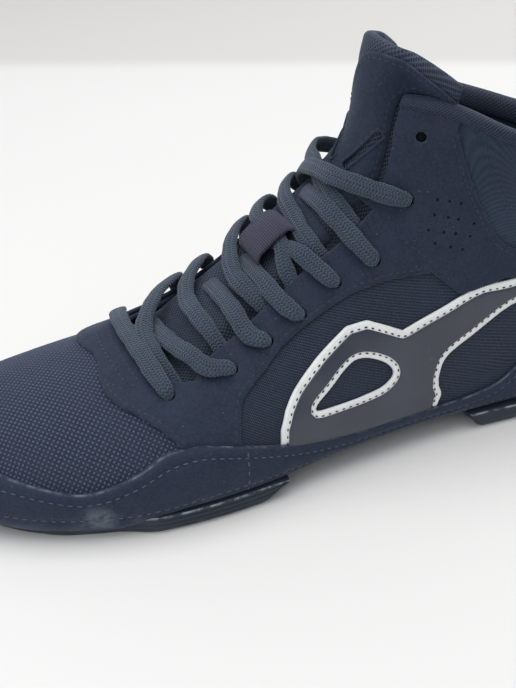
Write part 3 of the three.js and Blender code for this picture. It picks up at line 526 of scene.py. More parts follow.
def rubberLook(s):
    look = Look("soleRubber")
    x, y, z = look.split(look.place())
    cloud, fine = look.noise(70, 4.0, 0.6), look.noise(1500, 2.0)
    colour = look.blend(look.ramp(cloud, 0.3, 0.7), s["deep"], s["light"])
    rim = look.ramp(look.attribute("rim"), 0.9, 0.1) * look.ramp(look.noise(160, 4.0, 0.65), 0.42, 0.60)
    colour = look.blend((rim * 0.9).clip(), colour, s["worn"])
    dust = look.ramp(z, 0.004, 0.0) * look.ramp(look.noise(160, 4.0), 0.3, 0.7)
    colour = look.blend(dust * 0.35, colour, s["dust"])
    ribs = (x * (2 * math.pi / s["tread"])).math("SINE") * (y * (2 * math.pi / s["tread"])).math("SINE")
    under = look.ramp(z, 0.0006, 0.0002)
    return look.finish(colour, 0.52 + cloud * 0.12, look.wear(fine * 0.4 + ribs * under * 2.0, 0.0002, 0.7),
                       {"Specular IOR Level": 0.4})


def threadLook(name, colour, rough=0.6):
    look = Look(name)
    yarn = look.noise(2600, 2.0)
    dark = tuple(c * 0.55 for c in colour)
    return look.finish(look.blend(yarn, dark, colour), rough, look.wear(yarn, 0.0001, 0.6),
                       {"Sheen Weight": 0.2, "Specular IOR Level": 0.35})


ribbonSettings = {"deep": (0.006, 0.006, 0.016), "light": (0.040, 0.038, 0.086), "rib": 0.86}


def loopLook(s):
    look = Look("ribbonLoop")
    u = look.uv()[0]
    rib = (u * (2 * math.pi / s["rib"])).math("SINE") * 0.5 + 0.5
    yarn = look.noise(1900, 2.0)
    colour = look.blend((rib * 0.8 + (yarn - 0.5) * 0.5).clip(), s["deep"], s["light"])
    return look.finish(colour, 0.62, look.wear(rib + yarn * 0.2, 0.00035, 0.95),
                       {"Sheen Weight": 0.12, "Sheen Tint": (0.7, 0.68, 1.0, 1.0)})


def plainLook(name, deep, light, rough):
    look = Look(name)
    cloud = look.noise(220, 4.0, 0.6)
    return look.finish(look.blend(cloud, deep, light), rough, look.wear(look.noise(1500, 2.0), 0.0002, 0.7),
                       {"Specular IOR Level": 0.25})


dustSpot = (0.1903, 0.0470, 0.0103)  # pale scuff on the wrap, m
looks = {
    "suede": suedeLook("suede", suedeSettings, 1.0, 0.25),
    "rand": suedeLook("wrapSuede", suedeSettings, 1.05, 0.9, 1.0),
    "vamp": knitLook("vampKnit", "vamp"), "side": knitLook("sideKnit", "side"),
    "rib": knitLook("ribKnit", "rib"), "honeycomb": knitLook("tongueMesh", "honeycomb"),
    "lining": knitLook("collarLining", "honeycomb"), "lace": laceLook(braidSettings),
    "gloss": glossLook(glossSettings), "edging": edgingLook(edgingSettings),
    "rubber": rubberLook(rubberSettings), "loop": loopLook(ribbonSettings),
    "thread": threadLook("navyThread", (0.019, 0.027, 0.047)),
    "paleThread": threadLook("wornThread", (0.075, 0.100, 0.140)),
    "darkThread": threadLook("darkThread", (0.010, 0.012, 0.020)),
    "hole": plainLook("holeShade", (0.0012, 0.0015, 0.0022), (0.003, 0.0035, 0.005), 0.95),
    "footbed": plainLook("footbed", (0.010, 0.014, 0.024), (0.020, 0.027, 0.042), 0.9),
}
print("materials made")


def newPiece(name, points, faces, pieceLooks, nodes=(), uv=None, faceLooks=None, rim=None, weld=0.0):
    mesh = bpy.data.meshes.new(name)
    mesh.from_pydata((np.asarray(points) * 0.001).tolist(), [], [tuple(int(v) for v in f) for f in faces])
    for look in pieceLooks:
        mesh.materials.append(looks[look])
    index = np.empty(len(mesh.loops), dtype=np.int32)
    mesh.loops.foreach_get("vertex_index", index)
    for key, values in (uv or {}).items():
        flat = np.asarray(values, dtype=np.float32)[index].ravel()
        mesh.uv_layers.new(name=key).data.foreach_set("uv", flat)
    if faceLooks is not None:
        mesh.polygons.foreach_set("material_index", np.asarray(faceLooks, dtype=np.int32))
    if rim is not None:
        marks = mesh.attributes.new("rim", "FLOAT", "POINT")
        marks.data.foreach_set("value", np.asarray(rim, dtype=np.float32))
    mesh.polygons.foreach_set("use_smooth", np.ones(len(mesh.polygons), dtype=bool))
    work = bmesh.new()
    work.from_mesh(mesh)
    if weld:
        bmesh.ops.remove_doubles(work, verts=work.verts, dist=weld * 0.001)
        bmesh.ops.dissolve_degenerate(work, dist=1e-7, edges=work.edges)
    if work.calc_volume(signed=True) < 0:
        bmesh.ops.reverse_faces(work, faces=work.faces)
    openEdges = sum(1 for e in work.edges if not e.is_manifold)
    work.to_mesh(mesh)
    work.free()
    mesh.update()
    piece = bpy.data.objects.new(name, mesh)
    bpy.context.collection.objects.link(piece)
    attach(piece, "root")
    if nodes:
        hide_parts(*nodes)
    print(name, len(mesh.polygons), "faces", f"{openEdges} open edges" if openEdges else "closed")
    return piece


def gridFaces(rows, columns, start=0, closed=False):
    faces = []
    for i in range(rows - 1):
        for j in range(columns if closed else columns - 1):
            k = (j + 1) % columns
            faces.append((start + i * columns + j, start + i * columns + k,
                          start + (i + 1) * columns + k, start + (i + 1) * columns + j))
    return faces


def sideWalls(rows, columns):  # faces that join two grids of the same size round their edge
    loop = list(range(columns - 1)) + [i * columns + columns - 1 for i in range(rows - 1)]
    loop += [(rows - 1) * columns + j for j in range(columns - 1, 0, -1)]
    loop += [i * columns for i in range(rows - 1, 0, -1)]
    under = rows * columns
    return [(a, under + a, under + b, b) for a, b in zip(loop, loop[1:] + loop[:1])]


def endCaps(rings, sides):  # fans from a middle point to the first and the last ring
    count = rings * sides
    faces = [(count, (k + 1) % sides, k) for k in range(sides)]
    first = (rings - 1) * sides
    return faces + [(count + 1, first + k, first + (k + 1) % sides) for k in range(sides)]


def edgeFinder(lines, step=0.25, place=None):
    dense = [evenLine(line, step, closed) for line, closed in lines]
    spots = np.vstack([skin(d[:, 0], d[:, 1], 0, False) if place is None else place(d) for d in dense])
    tree = kdtree.KDTree(len(spots))
    for k, p in enumerate(spots):
        tree.insert(p, k)
    tree.balance()
    return lambda points: np.array([tree.find(p)[2] for p in points])


def sheet(name, outline, holes, low, high, spacing, look, nodes=(), rounding=0.7, base=None,
          relief=None):
    rings = [evenLine(outline, 1.0, True)] + [evenLine(h, 0.6, True) for h in holes]
    toEdge = edgeFinder([(r, True) for r in rings])
    places, edges = [], []
    for ring in rings:
        n = len(places)
        places += list(ring)
        edges += [(n + k, n + (k + 1) % len(ring)) for k in range(len(ring))]
    extra = []
    for k, ring in enumerate(rings):  # rows of points just inside the edge, for its rounding
        way = inward(ring) * (1 if k == 0 else -1)
        for depth in (0.22, 0.55, 1.1):
            row, angle = shifted(ring[:, 0], ring[:, 1], way * depth)
            ok = toEdge(skin(row, angle, 0, False)) > 0.86 * depth
            extra.append(np.stack([row, angle], 1)[ok])
    main = rings[0]
    rows = np.arange(main[:, 0].min(), main[:, 0].max(), spacing / 14)
    angles = np.arange(main[:, 1].min(), main[:, 1].max(), spacing / 0.72)
    hexes = np.array([(r, a + (i % 2) * spacing / 1.44) for i, r in enumerate(rows) for a in angles])
    hexes = hexes[toEdge(skin(hexes[:, 0], hexes[:, 1], 0, False)) > 1.1 + spacing * 0.45]
    extra.append(hexes)
    extra = np.vstack(extra)
    ok = inside(extra, rings[0])
    for ring in rings[1:]:
        ok &= ~inside(extra, ring)
    places = np.vstack([np.array(places), extra[ok]])
    scale = np.array([14.0, 0.72])
    verts, _, tris, *_ = delaunay_2d_cdt([Vector(p) for p in places * scale], edges, [], 0, 1e-6)
    flat = np.array([(v.x, v.y) for v in verts])
    tris = np.array([t for t in tris if len(t) == 3])
    middle = flat[tris].mean(1)
    ok = inside(middle, rings[0] * scale)
    for ring in rings[1:]:
        ok &= ~inside(middle, ring * scale)
    tris = tris[ok]
    used = np.unique(tris)
    back = np.full(len(flat), -1)
    back[used] = np.arange(len(used))
    tris, at = back[tris], flat[used] / scale
    rim = toEdge(skin(at[:, 0], at[:, 1], 0, False))
    t = np.clip(rim / rounding, 0, 1)
    top = high - (high - low) * 0.6 * (1 - np.sqrt(np.maximum(0, 1 - (1 - t) ** 2)))
    if relief is not None:
        top = top + relief(at, rim)
    if base is None:  # thin where the wrap covers it
        flat = skin(at[:, 0], at[:, 1], 0.9, False)
        top = mixTo(top, low + 0.12, ease(-0.9, 0.5, wrapHeight(flat[:, 0]) - flat[:, 2]))
    ground = base(at[:, 0], at[:, 1]) if base is not None else 0
    outside, lower = skin(at[:, 0], at[:, 1], ground + top), skin(at[:, 0], at[:, 1], ground + low)
    n = len(at)
    pairs = {}
    for a, b, c in tris:
        for p, q in ((a, b), (b, c), (c, a)):
            pairs[(p, q)] = True
    faces = [tuple(f) for f in tris] + [(n + c, n + b, n + a) for a, b, c in tris]
    faces += [(q, p, n + p, n + q) for p, q in pairs if (q, p) not in pairs]
    uv = {"flow": np.tile(flow(at[:, 0], at[:, 1]), (2, 1))}
    return newPiece(name, np.vstack([outside, lower]), faces, [look], nodes, uv,
                    rim=np.concatenate([rim, rim * 0 + 9]))


# outlines on the last, lateral half: row, angle
throatLine = [(5.66, 0), (5.66, 5), (5.74, 16), (5.82, 26), (6.05, 34), (6.32, 37), (6.62, 30.5), (7.55, 28),
              (8.25, 27), (9.25, 25.5), (10.7, 28), (12.1, 28.5), (13.4, 25), (14.85, 23.5), (15.7, 24.5),
              (17, 26), (19.6, 27)]
throatDense = smoothLine(throatLine, 8)
eyelets = [(5.78, 38), (7.0, 41.5), (7.9, 40.5), (8.8, 40.5), (9.9, 39.5), (11.05, 43), (13.15, 37),
           (15.3, 36)]
wrapTop = smoothLine([  # side view shares: x, z
    (-0.08, .37), (.05, .355), (.11, .33), (.165, .27), (.215, .20), (.25, .148), (.30, .126), (.36, .124),
    (.42, .124), (.48, .128), (.54, .145), (.585, .172), (.63, .201), (.69, .233), (.715, .232), (.745, .220),
    (.77, .195), (.81, .165), (.845, .155), (.895, .178), (.93, .197), (.98, .21), (1.08, .215)], 6)
collarTop = smoothLine([(-.10, .81), (.02, .79), (.09, .79), (.16, .835), (.26, .915), (.315, .972),
                        (.345, .995), (.375, 1.0), (.41, .985), (.50, .975)], 6)


def throatEdge(row):
    return np.where(np.asarray(row) < 5.6, 0, np.interp(row, np.r_[5.6, throatDense[:, 0]],
                                                        np.r_[0, throatDense[:, 1]]))


def wrapHeight(x):
    return np.interp((x + last["back"]) / last["length"], wrapTop[:, 0], wrapTop[:, 1]) * last["collar"]


def collarHeight(x):
    return np.interp((x + last["back"]) / last["length"], collarTop[:, 0], collarTop[:, 1]) * last["collar"]


def collarRow(angle, drop=0.0, offset=0.0):
    angle = np.atleast_1d(np.asarray(angle, float))
    rows = np.arange(13.0, 19.9, 0.05)
    p = skin(rows[:, None], angle[None], offset, False)
    over = p[..., 2] - collarHeight(p[..., 0]) + drop
    first = np.argmax(over > 0, axis=0)
    a, b = over[first - 1, np.arange(len(angle))], over[first, np.arange(len(angle))]
    return rows[first - 1] + 0.05 * (-a / (b - a))


def both(half):  # closed outline over both sides from a lateral half that starts and ends near the top line
    half = np.asarray(half, float)
    return np.vstack([half, half[::-1] * (1, -1)])


def sided(table, side, offset=0.9):
    return np.array([onSide(x, z, side, offset) for x, z in table])


def disc(row, angle, radius, count=14):
    n = outward(np.array([row]), np.array([angle]))[0]
    t = np.cross(n, (0, 0, 1.0))
    t /= np.linalg.norm(t)
    b = np.cross(n, t)
    turn = np.linspace(0, 2 * math.pi, count, endpoint=False)
    ways = radius * (np.cos(turn)[:, None] * t + np.sin(turn)[:, None] * b)
    r, a = shifted(np.full(count, float(row)), np.full(count, float(angle)), ways)
    return np.stack([r, a], 1)


# upper: one hollow skin with the throat and the collar open
upperSet = {"columns": 168, "wall": 2.0}


def makeUpper(s):
    front = np.r_[0.03, 0.08, 0.15, 0.25, 0.38, 0.55, 0.75, np.arange(1.0, 5.55, 0.14), 5.6, 5.64, 5.66, 5.68,
                  5.71, 5.74, 5.78, 5.82, 5.88, 5.96, 6.05, 6.16, 6.3, 6.42, 6.55, np.arange(6.7, 13.0, 0.17)]
    share = np.linspace(0, 1, s["columns"] + 1)
    share = share - 0.035 * np.sin(2 * math.pi * share)
    rows, angles = [], []
    for row in front:
        e = float(throatEdge(row))
        rows.append(np.full(len(share), row))
        angles.append(e + (360 - 2 * e) * share)
    for t in np.linspace(0, 1, 34):
        row = np.full(len(share), 13 + 3 * t)
        for _ in range(4):
            e = throatEdge(row)
            angle = e + (360 - 2 * e) * share
            row = 13 + (collarRow(angle) - 13) * t
        rows.append(row)
        angles.append(angle)
    rows, angles = np.array(rows), np.array(angles)
    ni, nj = rows.shape
    outer, inner = skin(rows, angles, 0.0), skin(rows, angles, -s["wall"])
    tipOut, tipIn = outer[0].mean(0), inner[0].mean(0)
    points = np.vstack([outer.reshape(-1, 3), inner.reshape(-1, 3), [tipOut], [tipIn]])
    n = ni * nj
    x, z = (outer[..., 0] + last["back"]) / last["length"], outer[..., 2] / last["collar"]
    region = np.where(rows < 5.75, 0, np.where((rows > 12.4) & (x < 0.37) & (z > 0.5), 2, 1))
    faces, kinds = [], []
    for f in gridFaces(ni, nj):
        faces.append(f)
        kinds.append(int(region.flat[f[0]]))
    for f in gridFaces(ni, nj, n):
        faces.append(f[::-1])
        kinds.append(3)
    for j in range(nj - 1):
        faces += [(2 * n, j + 1, j), (2 * n + 1, n + j, n + j + 1)]
        kinds += [0, 3]
    first = int(np.searchsorted(front, 5.6))
    for i in range(first, ni - 1):  # throat edges
        a, b = i * nj, (i + 1) * nj
        faces += [(a, b, n + b, n + a), (b + nj - 1, a + nj - 1, n + a + nj - 1, n + b + nj - 1)]
        kinds += [4, 4]
    a = (ni - 1) * nj
    for j in range(nj - 1):
        faces.append((a + j, a + j + 1, n + a + j + 1, n + a + j))
        kinds.append(4)
    wrapped = (angles + 180) % 360 - 180
    uv = flow(rows, wrapped).reshape(-1, 2)
    fromBack = flow(rows, np.sign(wrapped) * 179.9)[..., 1]
    rib = np.stack([flow(rows, wrapped)[..., 0], flow(rows, wrapped)[..., 1] - fromBack], -1).reshape(-1, 2)
    tail = np.zeros((2, 2))
    return newPiece("upper_skin", points, faces, ["vamp", "side", "rib", "lining", "suede"],
                    ("upper", "midsole"),
                    {"flow": np.vstack([uv, uv, tail]), "flowBack": np.vstack([rib, rib, tail])},
                    kinds, rim=np.full(len(points), 9.0), weld=0.002)


makeUpper(upperSet)

# overlays
trimLow, trimHigh = 0.3, 1.5
windowEdge = [(.641, .223), (.632, .300), (.621, .329), (.600, .357), (.540, .446), (.492, .498),
              (.433, .534), (.385, .541), (.356, .543)]
ankleFront = [(.440, .745), (.414, .692), (.399, .633), (.372, .579), (.353, .534)]
ankleRear = [(.150, .595), (.215, .568), (.242, .574), (.268, .622), (.284, .683), (.300, .757), (.317, .856),
             (.328, .927)]


tabLine = smoothLine([(5.32, -10), (5.32, 10), (5.34, 18), (5.37, 24), (5.18, 27.5), (4.98, 22)], 6)


def throatPart(start, end):
    return throatDense[(throatDense[:, 0] >= start) & (throatDense[:, 0] <= end)]


def makeEyestay():
    seam = smoothLine([(4.90, 0), (4.90, 3), (4.83, 10), (4.78, 18), (4.79, 26), (4.92, 34), (5.22, 45),
                       (5.45, 55), (5.60, 64), (5.66, 74), (5.68, 86), (5.74, 98)], 6)
    halves = []  # each from the toe seam along the window and back up the throat
    for side in (1, -1):
        window = smoothLine(sided(windowEdge, side), 6) * (1, side)
        low = [(window[0, 0] + 0.02, 92), (window[0, 0], 84)]
        under = [(12.1, 56), (12.7, 47), (12.95, 38), (12.95, 30)]
        throat = throatPart(5.66, 12.8)[::-1]
        halves.append(np.vstack([seam[seam[:, 1] < 97], low, window, under, throat]) * (1, side))
    outer = np.vstack([halves[0], halves[1][::-1]])
    holes = [disc(r, a * side, 2.0) for r, a in eyelets[:6] for side in (1, -1)]
    throatDistance = edgeFinder([(throatPart(5.66, 12.9), False), (throatPart(5.66, 12.9) * (1, -1), False)])
    frontSeam = edgeFinder([(tabLine, False)])

    def relief(at, rim):
        p = skin(at[:, 0], at[:, 1], 0, False)
        d, f = throatDistance(p), frontSeam(p)
        fold = 0.45 * (1 - ease(2.0, 2.7, d)) - 0.30 * np.exp(-((d - 2.9) / 0.45) ** 2)
        edge = -0.22 * np.exp(-((rim - 2.0) / 0.45) ** 2) * ease(3.2, 4.0, d)
        return fold * ease(0.0, 0.5, d + 0.2) + edge - 0.30 * np.exp(-(f / 0.5) ** 2)

    return sheet("eyestay_suede", outer, holes, trimLow, trimHigh, 1.7, "suede", ("eyestay",),
                 relief=relief)


makeEyestay()


def makeAnkle(side):
    front = smoothLine(sided(ankleFront, side), 6) * (1, side)
    rear = smoothLine(sided(ankleRear, side), 6) * (1, side)
    top = float(collarRow(24.0)[0])
    throat = throatPart(12.35, top - 0.05)
    angles = np.linspace(24.5, abs(rear[-1, 1]) + 1.5, 16)
    collar = np.stack([collarRow(angles * side, 0.4, 0.9), angles], 1)
    tail = [onSide(.05, .63, side), onSide(.05, .575, side), onSide(.18, .516, side), onSide(.25, .491, side),
            onSide(.318, .468, side)]
    tail = np.array(tail) * (1, side)
    half = np.vstack([throat, collar, rear[::-1], tail, front[::-1]])
    holes = [disc(r, a * side, 2.0) for r, a in eyelets[6:]]
    return sheet("ankle_suede_" + ("outer" if side > 0 else "inner"), half * (1, side), holes, trimLow,
                 trimHigh + 0.2, 1.7, "suede",
                 ("ankle_panel_" + ("lateral" if side > 0 else "medial"),),
                 relief=lambda at, rim: -0.25 * np.exp(-((rim - 2.1) / 0.45) ** 2))


for side in (1, -1):
    makeAnkle(side)

saddleOuter = [(.585, .065), (.575, .26), (.525, .375), (.480, .440), (.450, .445), (.40, .395), (.318, .458),
               (.250, .479), (.18, .502), (.094, .534), (.102, .462), (.18, .43), (.255, .385), (.315, .31),
               (.345, .22), (.350, .065)]
saddleInner = [(.522, .228), (.512, .285), (.474, .345), (.432, .322), (.418, .262), (.440, .240)]
saddleSet = {"edging": 3.0, "step": 0.35}
darkRuns = []


def makeSaddle(side):
    tag = "outer" if side > 0 else "inner"
    outer = smoothLine(sided(saddleOuter, side), 5, True, sharp=(0, 3, 4, 5, 9, 10, 15))
    inner = smoothLine(sided(saddleInner, side), 6, True)
    sheet("saddle_edging_" + tag, outer, [inner], trimLow, trimHigh - 0.15, 1.6, "edging",
          ("saddle_" + ("lateral" if side > 0 else "medial"),))
    ring = evenLine(outer, 1.0, True)
    tight = np.stack(shifted(ring[:, 0], ring[:, 1], inward(ring) * saddleSet["edging"]), 1)
    ok = edgeFinder([(ring, True)])(skin(tight[:, 0], tight[:, 1], 0, False)) > saddleSet["edging"] * 0.93
    hole = evenLine(inner, 1.0, True)
    wide = np.stack(shifted(hole[:, 0], hole[:, 1], -inward(hole) * (saddleSet["edging"] - 0.4)), 1)
    sheet("saddle_gloss_" + tag, tight[ok], [wide], trimHigh - 0.12, trimHigh + saddleSet["step"], 1.6,
          "gloss", rounding=0.4)
    for line, way, d in ((ring, 1, 2.3), (hole, -1, 1.9)):
        run = np.stack(shifted(line[:, 0], line[:, 1], inward(line) * way * d), 1)
        good = edgeFinder([(line, True)])(skin(run[:, 0], run[:, 1], 0, False)) > d * 0.93
        darkRuns.append((run[good], trimHigh - 0.13, True))


for side in (1, -1):
    makeSaddle(side)


def makeCounter():  # one piece round the heel, its medial angles counted on past 180 degrees
    line = [(.06, .60), (.085, .56), (.105, .44), (.15, .36), (.185, .28), (.188, .16)]
    outer, inner = (smoothLine(sided(line, side), 6) for side in (1, -1))
    topRow = onSide(.02, .60, 1)[0]
    back = [(topRow, 150), (topRow + 0.05, 180), (topRow, 210)]
    low = [(11.4, 128), (12.4, 140), (13.2, 150), (14.0, 160), (14.45, 180), (14.0, 200), (13.2, 210),
           (12.4, 220), (11.4, 232)]
    inner = inner + (0, 360)
    outline = np.vstack([outer, low, inner[::-1], back[::-1]])
    return sheet("heel_counter_suede", outline, [], trimLow, trimHigh + 0.35, 2.0, "suede",
                 ("heel_counter",), relief=lambda at, rim: -0.25 * np.exp(-((rim - 2.1) / 0.45) ** 2))


makeCounter()


# collar binding: a padded roll along the collar, from one throat edge round the heel to the other
bindingSet = {  # profile: height above the last, drop below the collar's edge
    "from": 24.5, "to": 335.5, "stations": 190,
    "profile": [(0.35, 3.5), (1.5, 3.7), (2.1, 3.1), (2.25, 2.0), (1.95, 0.8), (1.25, -0.2), (0.2, -0.8),
                (-1.0, -1.1), (-2.4, -0.9), (-3.7, 0.0), (-4.5, 1.6), (-4.7, 4.0), (-4.3, 6.6), (-3.2, 8.4),
                (-2.2, 8.8), (-2.05, 6.0), (-1.2, 3.6), (0.1, 3.3)],
}


def makeBinding(s):
    angles = np.linspace(s["from"], s["to"], s["stations"])
    profile = smoothLine(s["profile"], 2, True)
    swell = np.clip(np.minimum(angles - s["from"], s["to"] - angles) / 16, 0, 1) ** 0.5
    rings = []
    for offset, drop in profile:
        thin = np.where(offset < -2.0, mixTo(0.45, 1, swell), 1)
        rows = collarRow(angles, drop * np.where(drop > 0, mixTo(0.75, 1, swell), 1), 0.0)
        rings.append(skin(rows, angles, offset * thin))
    rings = np.array(rings).transpose(1, 0, 2)
    n, m = rings.shape[:2]
    faces = gridFaces(n, m, 0, True)
    points = np.vstack([rings.reshape(-1, 3), [rings[0].mean(0)], [rings[-1].mean(0)]])
    faces += endCaps(n, m)
    along, around = lengthsAlong(rings[:, 5]), lengthsAlong(rings[60])
    uv = np.stack(np.meshgrid(along, around, indexing="ij"), -1).reshape(-1, 2)
    uv = np.vstack([uv, [[0, 0], [0, 0]]])
    faceLooks = []
    for f in faces:
        k = f[0] % m if len(f) == 4 else 99
        drop = profile[k][0] if k < m else 9
        faceLooks.append(1 if drop < -2.6 else 0)
    return newPiece("collar_roll", points, faces, ["side", "lining"], ("collar_binding",),
                    {"flow": uv, "flowBack": uv}, faceLooks, np.full(len(points), 9.0))


makeBinding(bindingSet)
print("upper and overlays made")


# the wrap round the bottom edge, by stations round a spine
def bodyTree(offset):
    rows = np.r_[0.03, 0.1, 0.2, 0.35, 0.55, 0.8, np.arange(1.0, 17.0, 0.12)]
    angles = np.arange(0, 360, 3.0)
    p = skin(rows[:, None], angles[None], offset)
    points = [Vector(v) for v in p.reshape(-1, 3)] + [Vector(p[0].mean(0)), Vector(p[-1].mean(0))]
    n, m = p.shape[:2]
    faces = gridFaces(n, m, 0, True) + endCaps(n, m)
    return bvhtree.BVHTree.FromPolygons(points, faces)


wrapSet = {  # spine ends in mm, stations a stretch, faces off the last, seams and lip in mm
    "heelCentre": (-9.0, 1.0), "toeCentre": (198.0, -4.0), "side": 150, "toe": 64, "heel": 44, "low": 0.3,
    "high": 2.3, "seamDrop": 3.9, "seamDepth": 0.35, "belly": 0.45, "rounding": 1.5, "under": 9.0,
    "lip": 4.5, "lipFrom": 158.0, "lipTo": 184.0, "rows": 30,
}


def wrapStations(s):
    hx, hy = s["heelCentre"]
    tx, ty = s["toeCentre"]
    out = []
    spread = np.linspace(0, 1, s["side"], endpoint=False)
    for t in spread:  # lateral side, heel to toe
        out.append((mixTo(hx, tx, t), mixTo(hy, ty, t), 0.0, 1.0))
    for t in np.linspace(0, 1, s["toe"], endpoint=False):
        a = math.pi / 2 - math.pi * t
        out.append((tx, ty, math.cos(a), math.sin(a)))
    for t in spread:
        out.append((mixTo(tx, hx, t), mixTo(ty, hy, t), 0.0, -1.0))
    for t in np.linspace(0, 1, s["heel"], endpoint=False):
        a = -math.pi / 2 - math.pi * t
        out.append((hx, hy, math.cos(a), math.sin(a)))
    return np.array(out)


trees = {key: bodyTree(wrapSet[key]) for key in ("low", "high")}
stations = wrapStations(wrapSet)


def cast(tree, station, z):
    x, y, dx, dy = station
    hit = tree.ray_cast(Vector((x + dx * 130, y + dy * 130, z)), Vector((-dx, -dy, 0)))
    return np.array(hit[0]) if hit[0] is not None else None


def soleUnder(x):  # underside of the last along its sole line
    rows = np.linspace(0, 14, 300)
    q = section(rows)
    return np.interp(-x, -q[:, 2], q[:, 3])


def wrapColumn(tree, station, offset, count):
    top = 20.0
    for _ in range(7):
        hit = cast(tree, station, top)
        top = mixTo(top, float(wrapHeight(hit[0])), 0.8)
    low = float(soleUnder(np.clip(hit[0], -43, 239))) - offset + 1.6
    heights = top + (low - top) * np.linspace(0, 1, count)
    column = [cast(tree, station, z) for z in heights]
    reach = wrapSet["lip"] * float(ease(wrapSet["lipFrom"], wrapSet["lipTo"], column[-1][0]))
    share = np.clip((np.linspace(0, 1, count) - 0.45) / 0.55, 0, 1) ** 1.6
    level = np.array([station[2], station[3], 0])
    column = [p - np.array([0, 0, reach * t]) + level * min(0.5, 0.12 * reach) * t
              for p, t in zip(column, share)]
    return column


def makeWrap(s):
    count = s["rows"]
    rings = {}
    for key in ("high", "low"):
        columns = []
        for st in stations:
            column = wrapColumn(trees[key], st, s[key], count)
            foot = column[-1]
            inset = foot - np.array([st[2], st[3], 0]) * s["under"]
            z = float(soleUnder(np.clip(inset[0], -43, 239))) - s[key]
            column.append(mixTo(foot, np.array([inset[0], inset[1], z]), 0.45) + (0, 0, -0.55))
            column.append(np.array([inset[0], inset[1], z]))
            columns.append(column)
        rings[key] = np.array(columns)
    out, inn = rings["high"], rings["low"]
    for k in range(3):  # light smoothing along the wrap
        part = out[:, :count]
        out[:, :count] = 0.5 * part + 0.25 * (np.roll(part, 1, 0) + np.roll(part, -1, 0))
    drop = out[:, :1, 2] - out[:, :count, 2]
    rounded = np.clip(drop / s["rounding"], 0, 1)
    keep = 0.35 + 0.65 * np.sqrt(1 - (1 - rounded) ** 2)
    seam = -s["seamDepth"] * np.exp(-((drop - s["seamDrop"]) / 0.55) ** 2)
    seam2 = -s["seamDepth"] * np.exp(-((out[:, :count, 2] - seamTwo(out[:, :count, 0])) / 0.6) ** 2)
    belly = s["belly"] * np.sin(np.pi * np.clip((drop - 4) / np.maximum(drop[:, -1:] - 5, 2), 0, 1))
    way = out[:, :count] - inn[:, :count]
    way = way / np.maximum(np.linalg.norm(way, axis=-1, keepdims=True), 1e-6)
    level = np.stack([np.stack([stations[:, 2], stations[:, 3], 0 * stations[:, 2]], 1)] * count, 1)
    out[:, :count] = inn[:, :count] + (out[:, :count] - inn[:, :count]) * keep[..., None] \
        + level * (seam + seam2 + belly)[..., None]
    n, m = out.shape[:2]
    points = np.vstack([out.reshape(-1, 3), inn.reshape(-1, 3)])
    faces = []
    for i in range(n):
        k = (i + 1) % n
        for j in range(m - 1):
            faces.append((i * m + j, i * m + j + 1, k * m + j + 1, k * m + j))
            faces.append((n * m + k * m + j, n * m + k * m + j + 1, n * m + i * m + j + 1, n * m + i * m + j))
        faces.append((i * m, k * m, n * m + k * m, n * m + i * m))
    side, toe, heel = s["side"], s["toe"], s["heel"]
    lastColumn = m - 1

    def across(a, b, c, d):  # underside, both faces
        faces.append((a * m + lastColumn, b * m + lastColumn, c * m + lastColumn, d * m + lastColumn))
        faces.append((n * m + d * m + lastColumn, n * m + c * m + lastColumn, n * m + b * m + lastColumn,
                      n * m + a * m + lastColumn))

    for i in range(side):
        a, b = i, i + 1
        c, d = side + toe + (side - i - 1), side + toe + (side - i)
        across(a, d, c, b)
    for start, size in ((side, toe), (2 * side + toe, heel)):
        half = size // 2
        ends = [(start + k) % n for k in range(size + 1)]
        for k in range(half):
            across(ends[k], ends[size - k], ends[size - k - 1], ends[k + 1])
    rim = np.concatenate([drop, np.full((n, 2), 9.0)], 1).ravel()
    newPiece("wrap_suede", points, faces, ["rand"], ("rand",),
             rim=np.concatenate([rim, np.full(n * m, 9.0)]), weld=0.001)
    return out, drop


def seamTwo(x):  # lower stitch row above the floor
    share = (np.asarray(x) + last["back"]) / last["length"]
    return np.interp(share, [0, .12, .25, .40, .50, .58, .66, .78, .88, .95, 1.0],
                     [15.0, 13.0, 11.0, 10.4, 10.6, 11.6, 12.0, 10.4, 10.6, 12.5, 15.5])


wrapOut, wrapDrop = makeWrap(wrapSet)

# outsole pads
forefootPad = [(.995, 0, -.15, 0, 2.10, 3.60), (.982, .155, -.28, 0, 1.35, 2.90),
               (.950, .275, -.385, 0, .62, 2.15), (.895, .388, -.452, 0, .16, 1.65),
               (.845, .450, -.475, 0, 0, 1.45), (.785, .496, -.487, 0, 0, 1.40),
               (.715, .515, -.478, 0, 0, 1.45), (.655, .512, -.460, 0, 0, 1.50),
               (.605, .497, -.428, 0, 0, 1.52), (.572, .487, -.418, 0, .12, 1.45)]
heelPad = [(.288, .520, -.475, 1, .45, 1.55), (.262, .520, -.480, 1, 0, 1.50),
           (.180, .520, -.486, 1, 0, 1.45), (.120, .495, -.465, 1, 0, 1.55),
           (.075, .410, -.390, 1, .05, 1.95), (.045, .275, -.260, 1, .30, 2.45),
           (.028, .100, -.090, 1, .75, 2.80)]
padSet = {  # in mm: seat under the wrap, slopes and roundings of the wall, lugs, taper of the ends
    "ledge": 3.0, "draft": 2.2, "topRound": 0.55, "footRound": 0.8, "depth": 0.8, "lugDepth": 1.2,
    "lugHalf": 1.3, "tuck": 3.4, "tuckFrom": 168.0, "tuckTo": 184.0, "endThick": 2.2, "endFore": 13,
    "endHeel": 9, "seat": 1.6, "pinch": 1.2, "ribs": ((0.26, 9), (0.52, 4), (0.78, -6)),
}


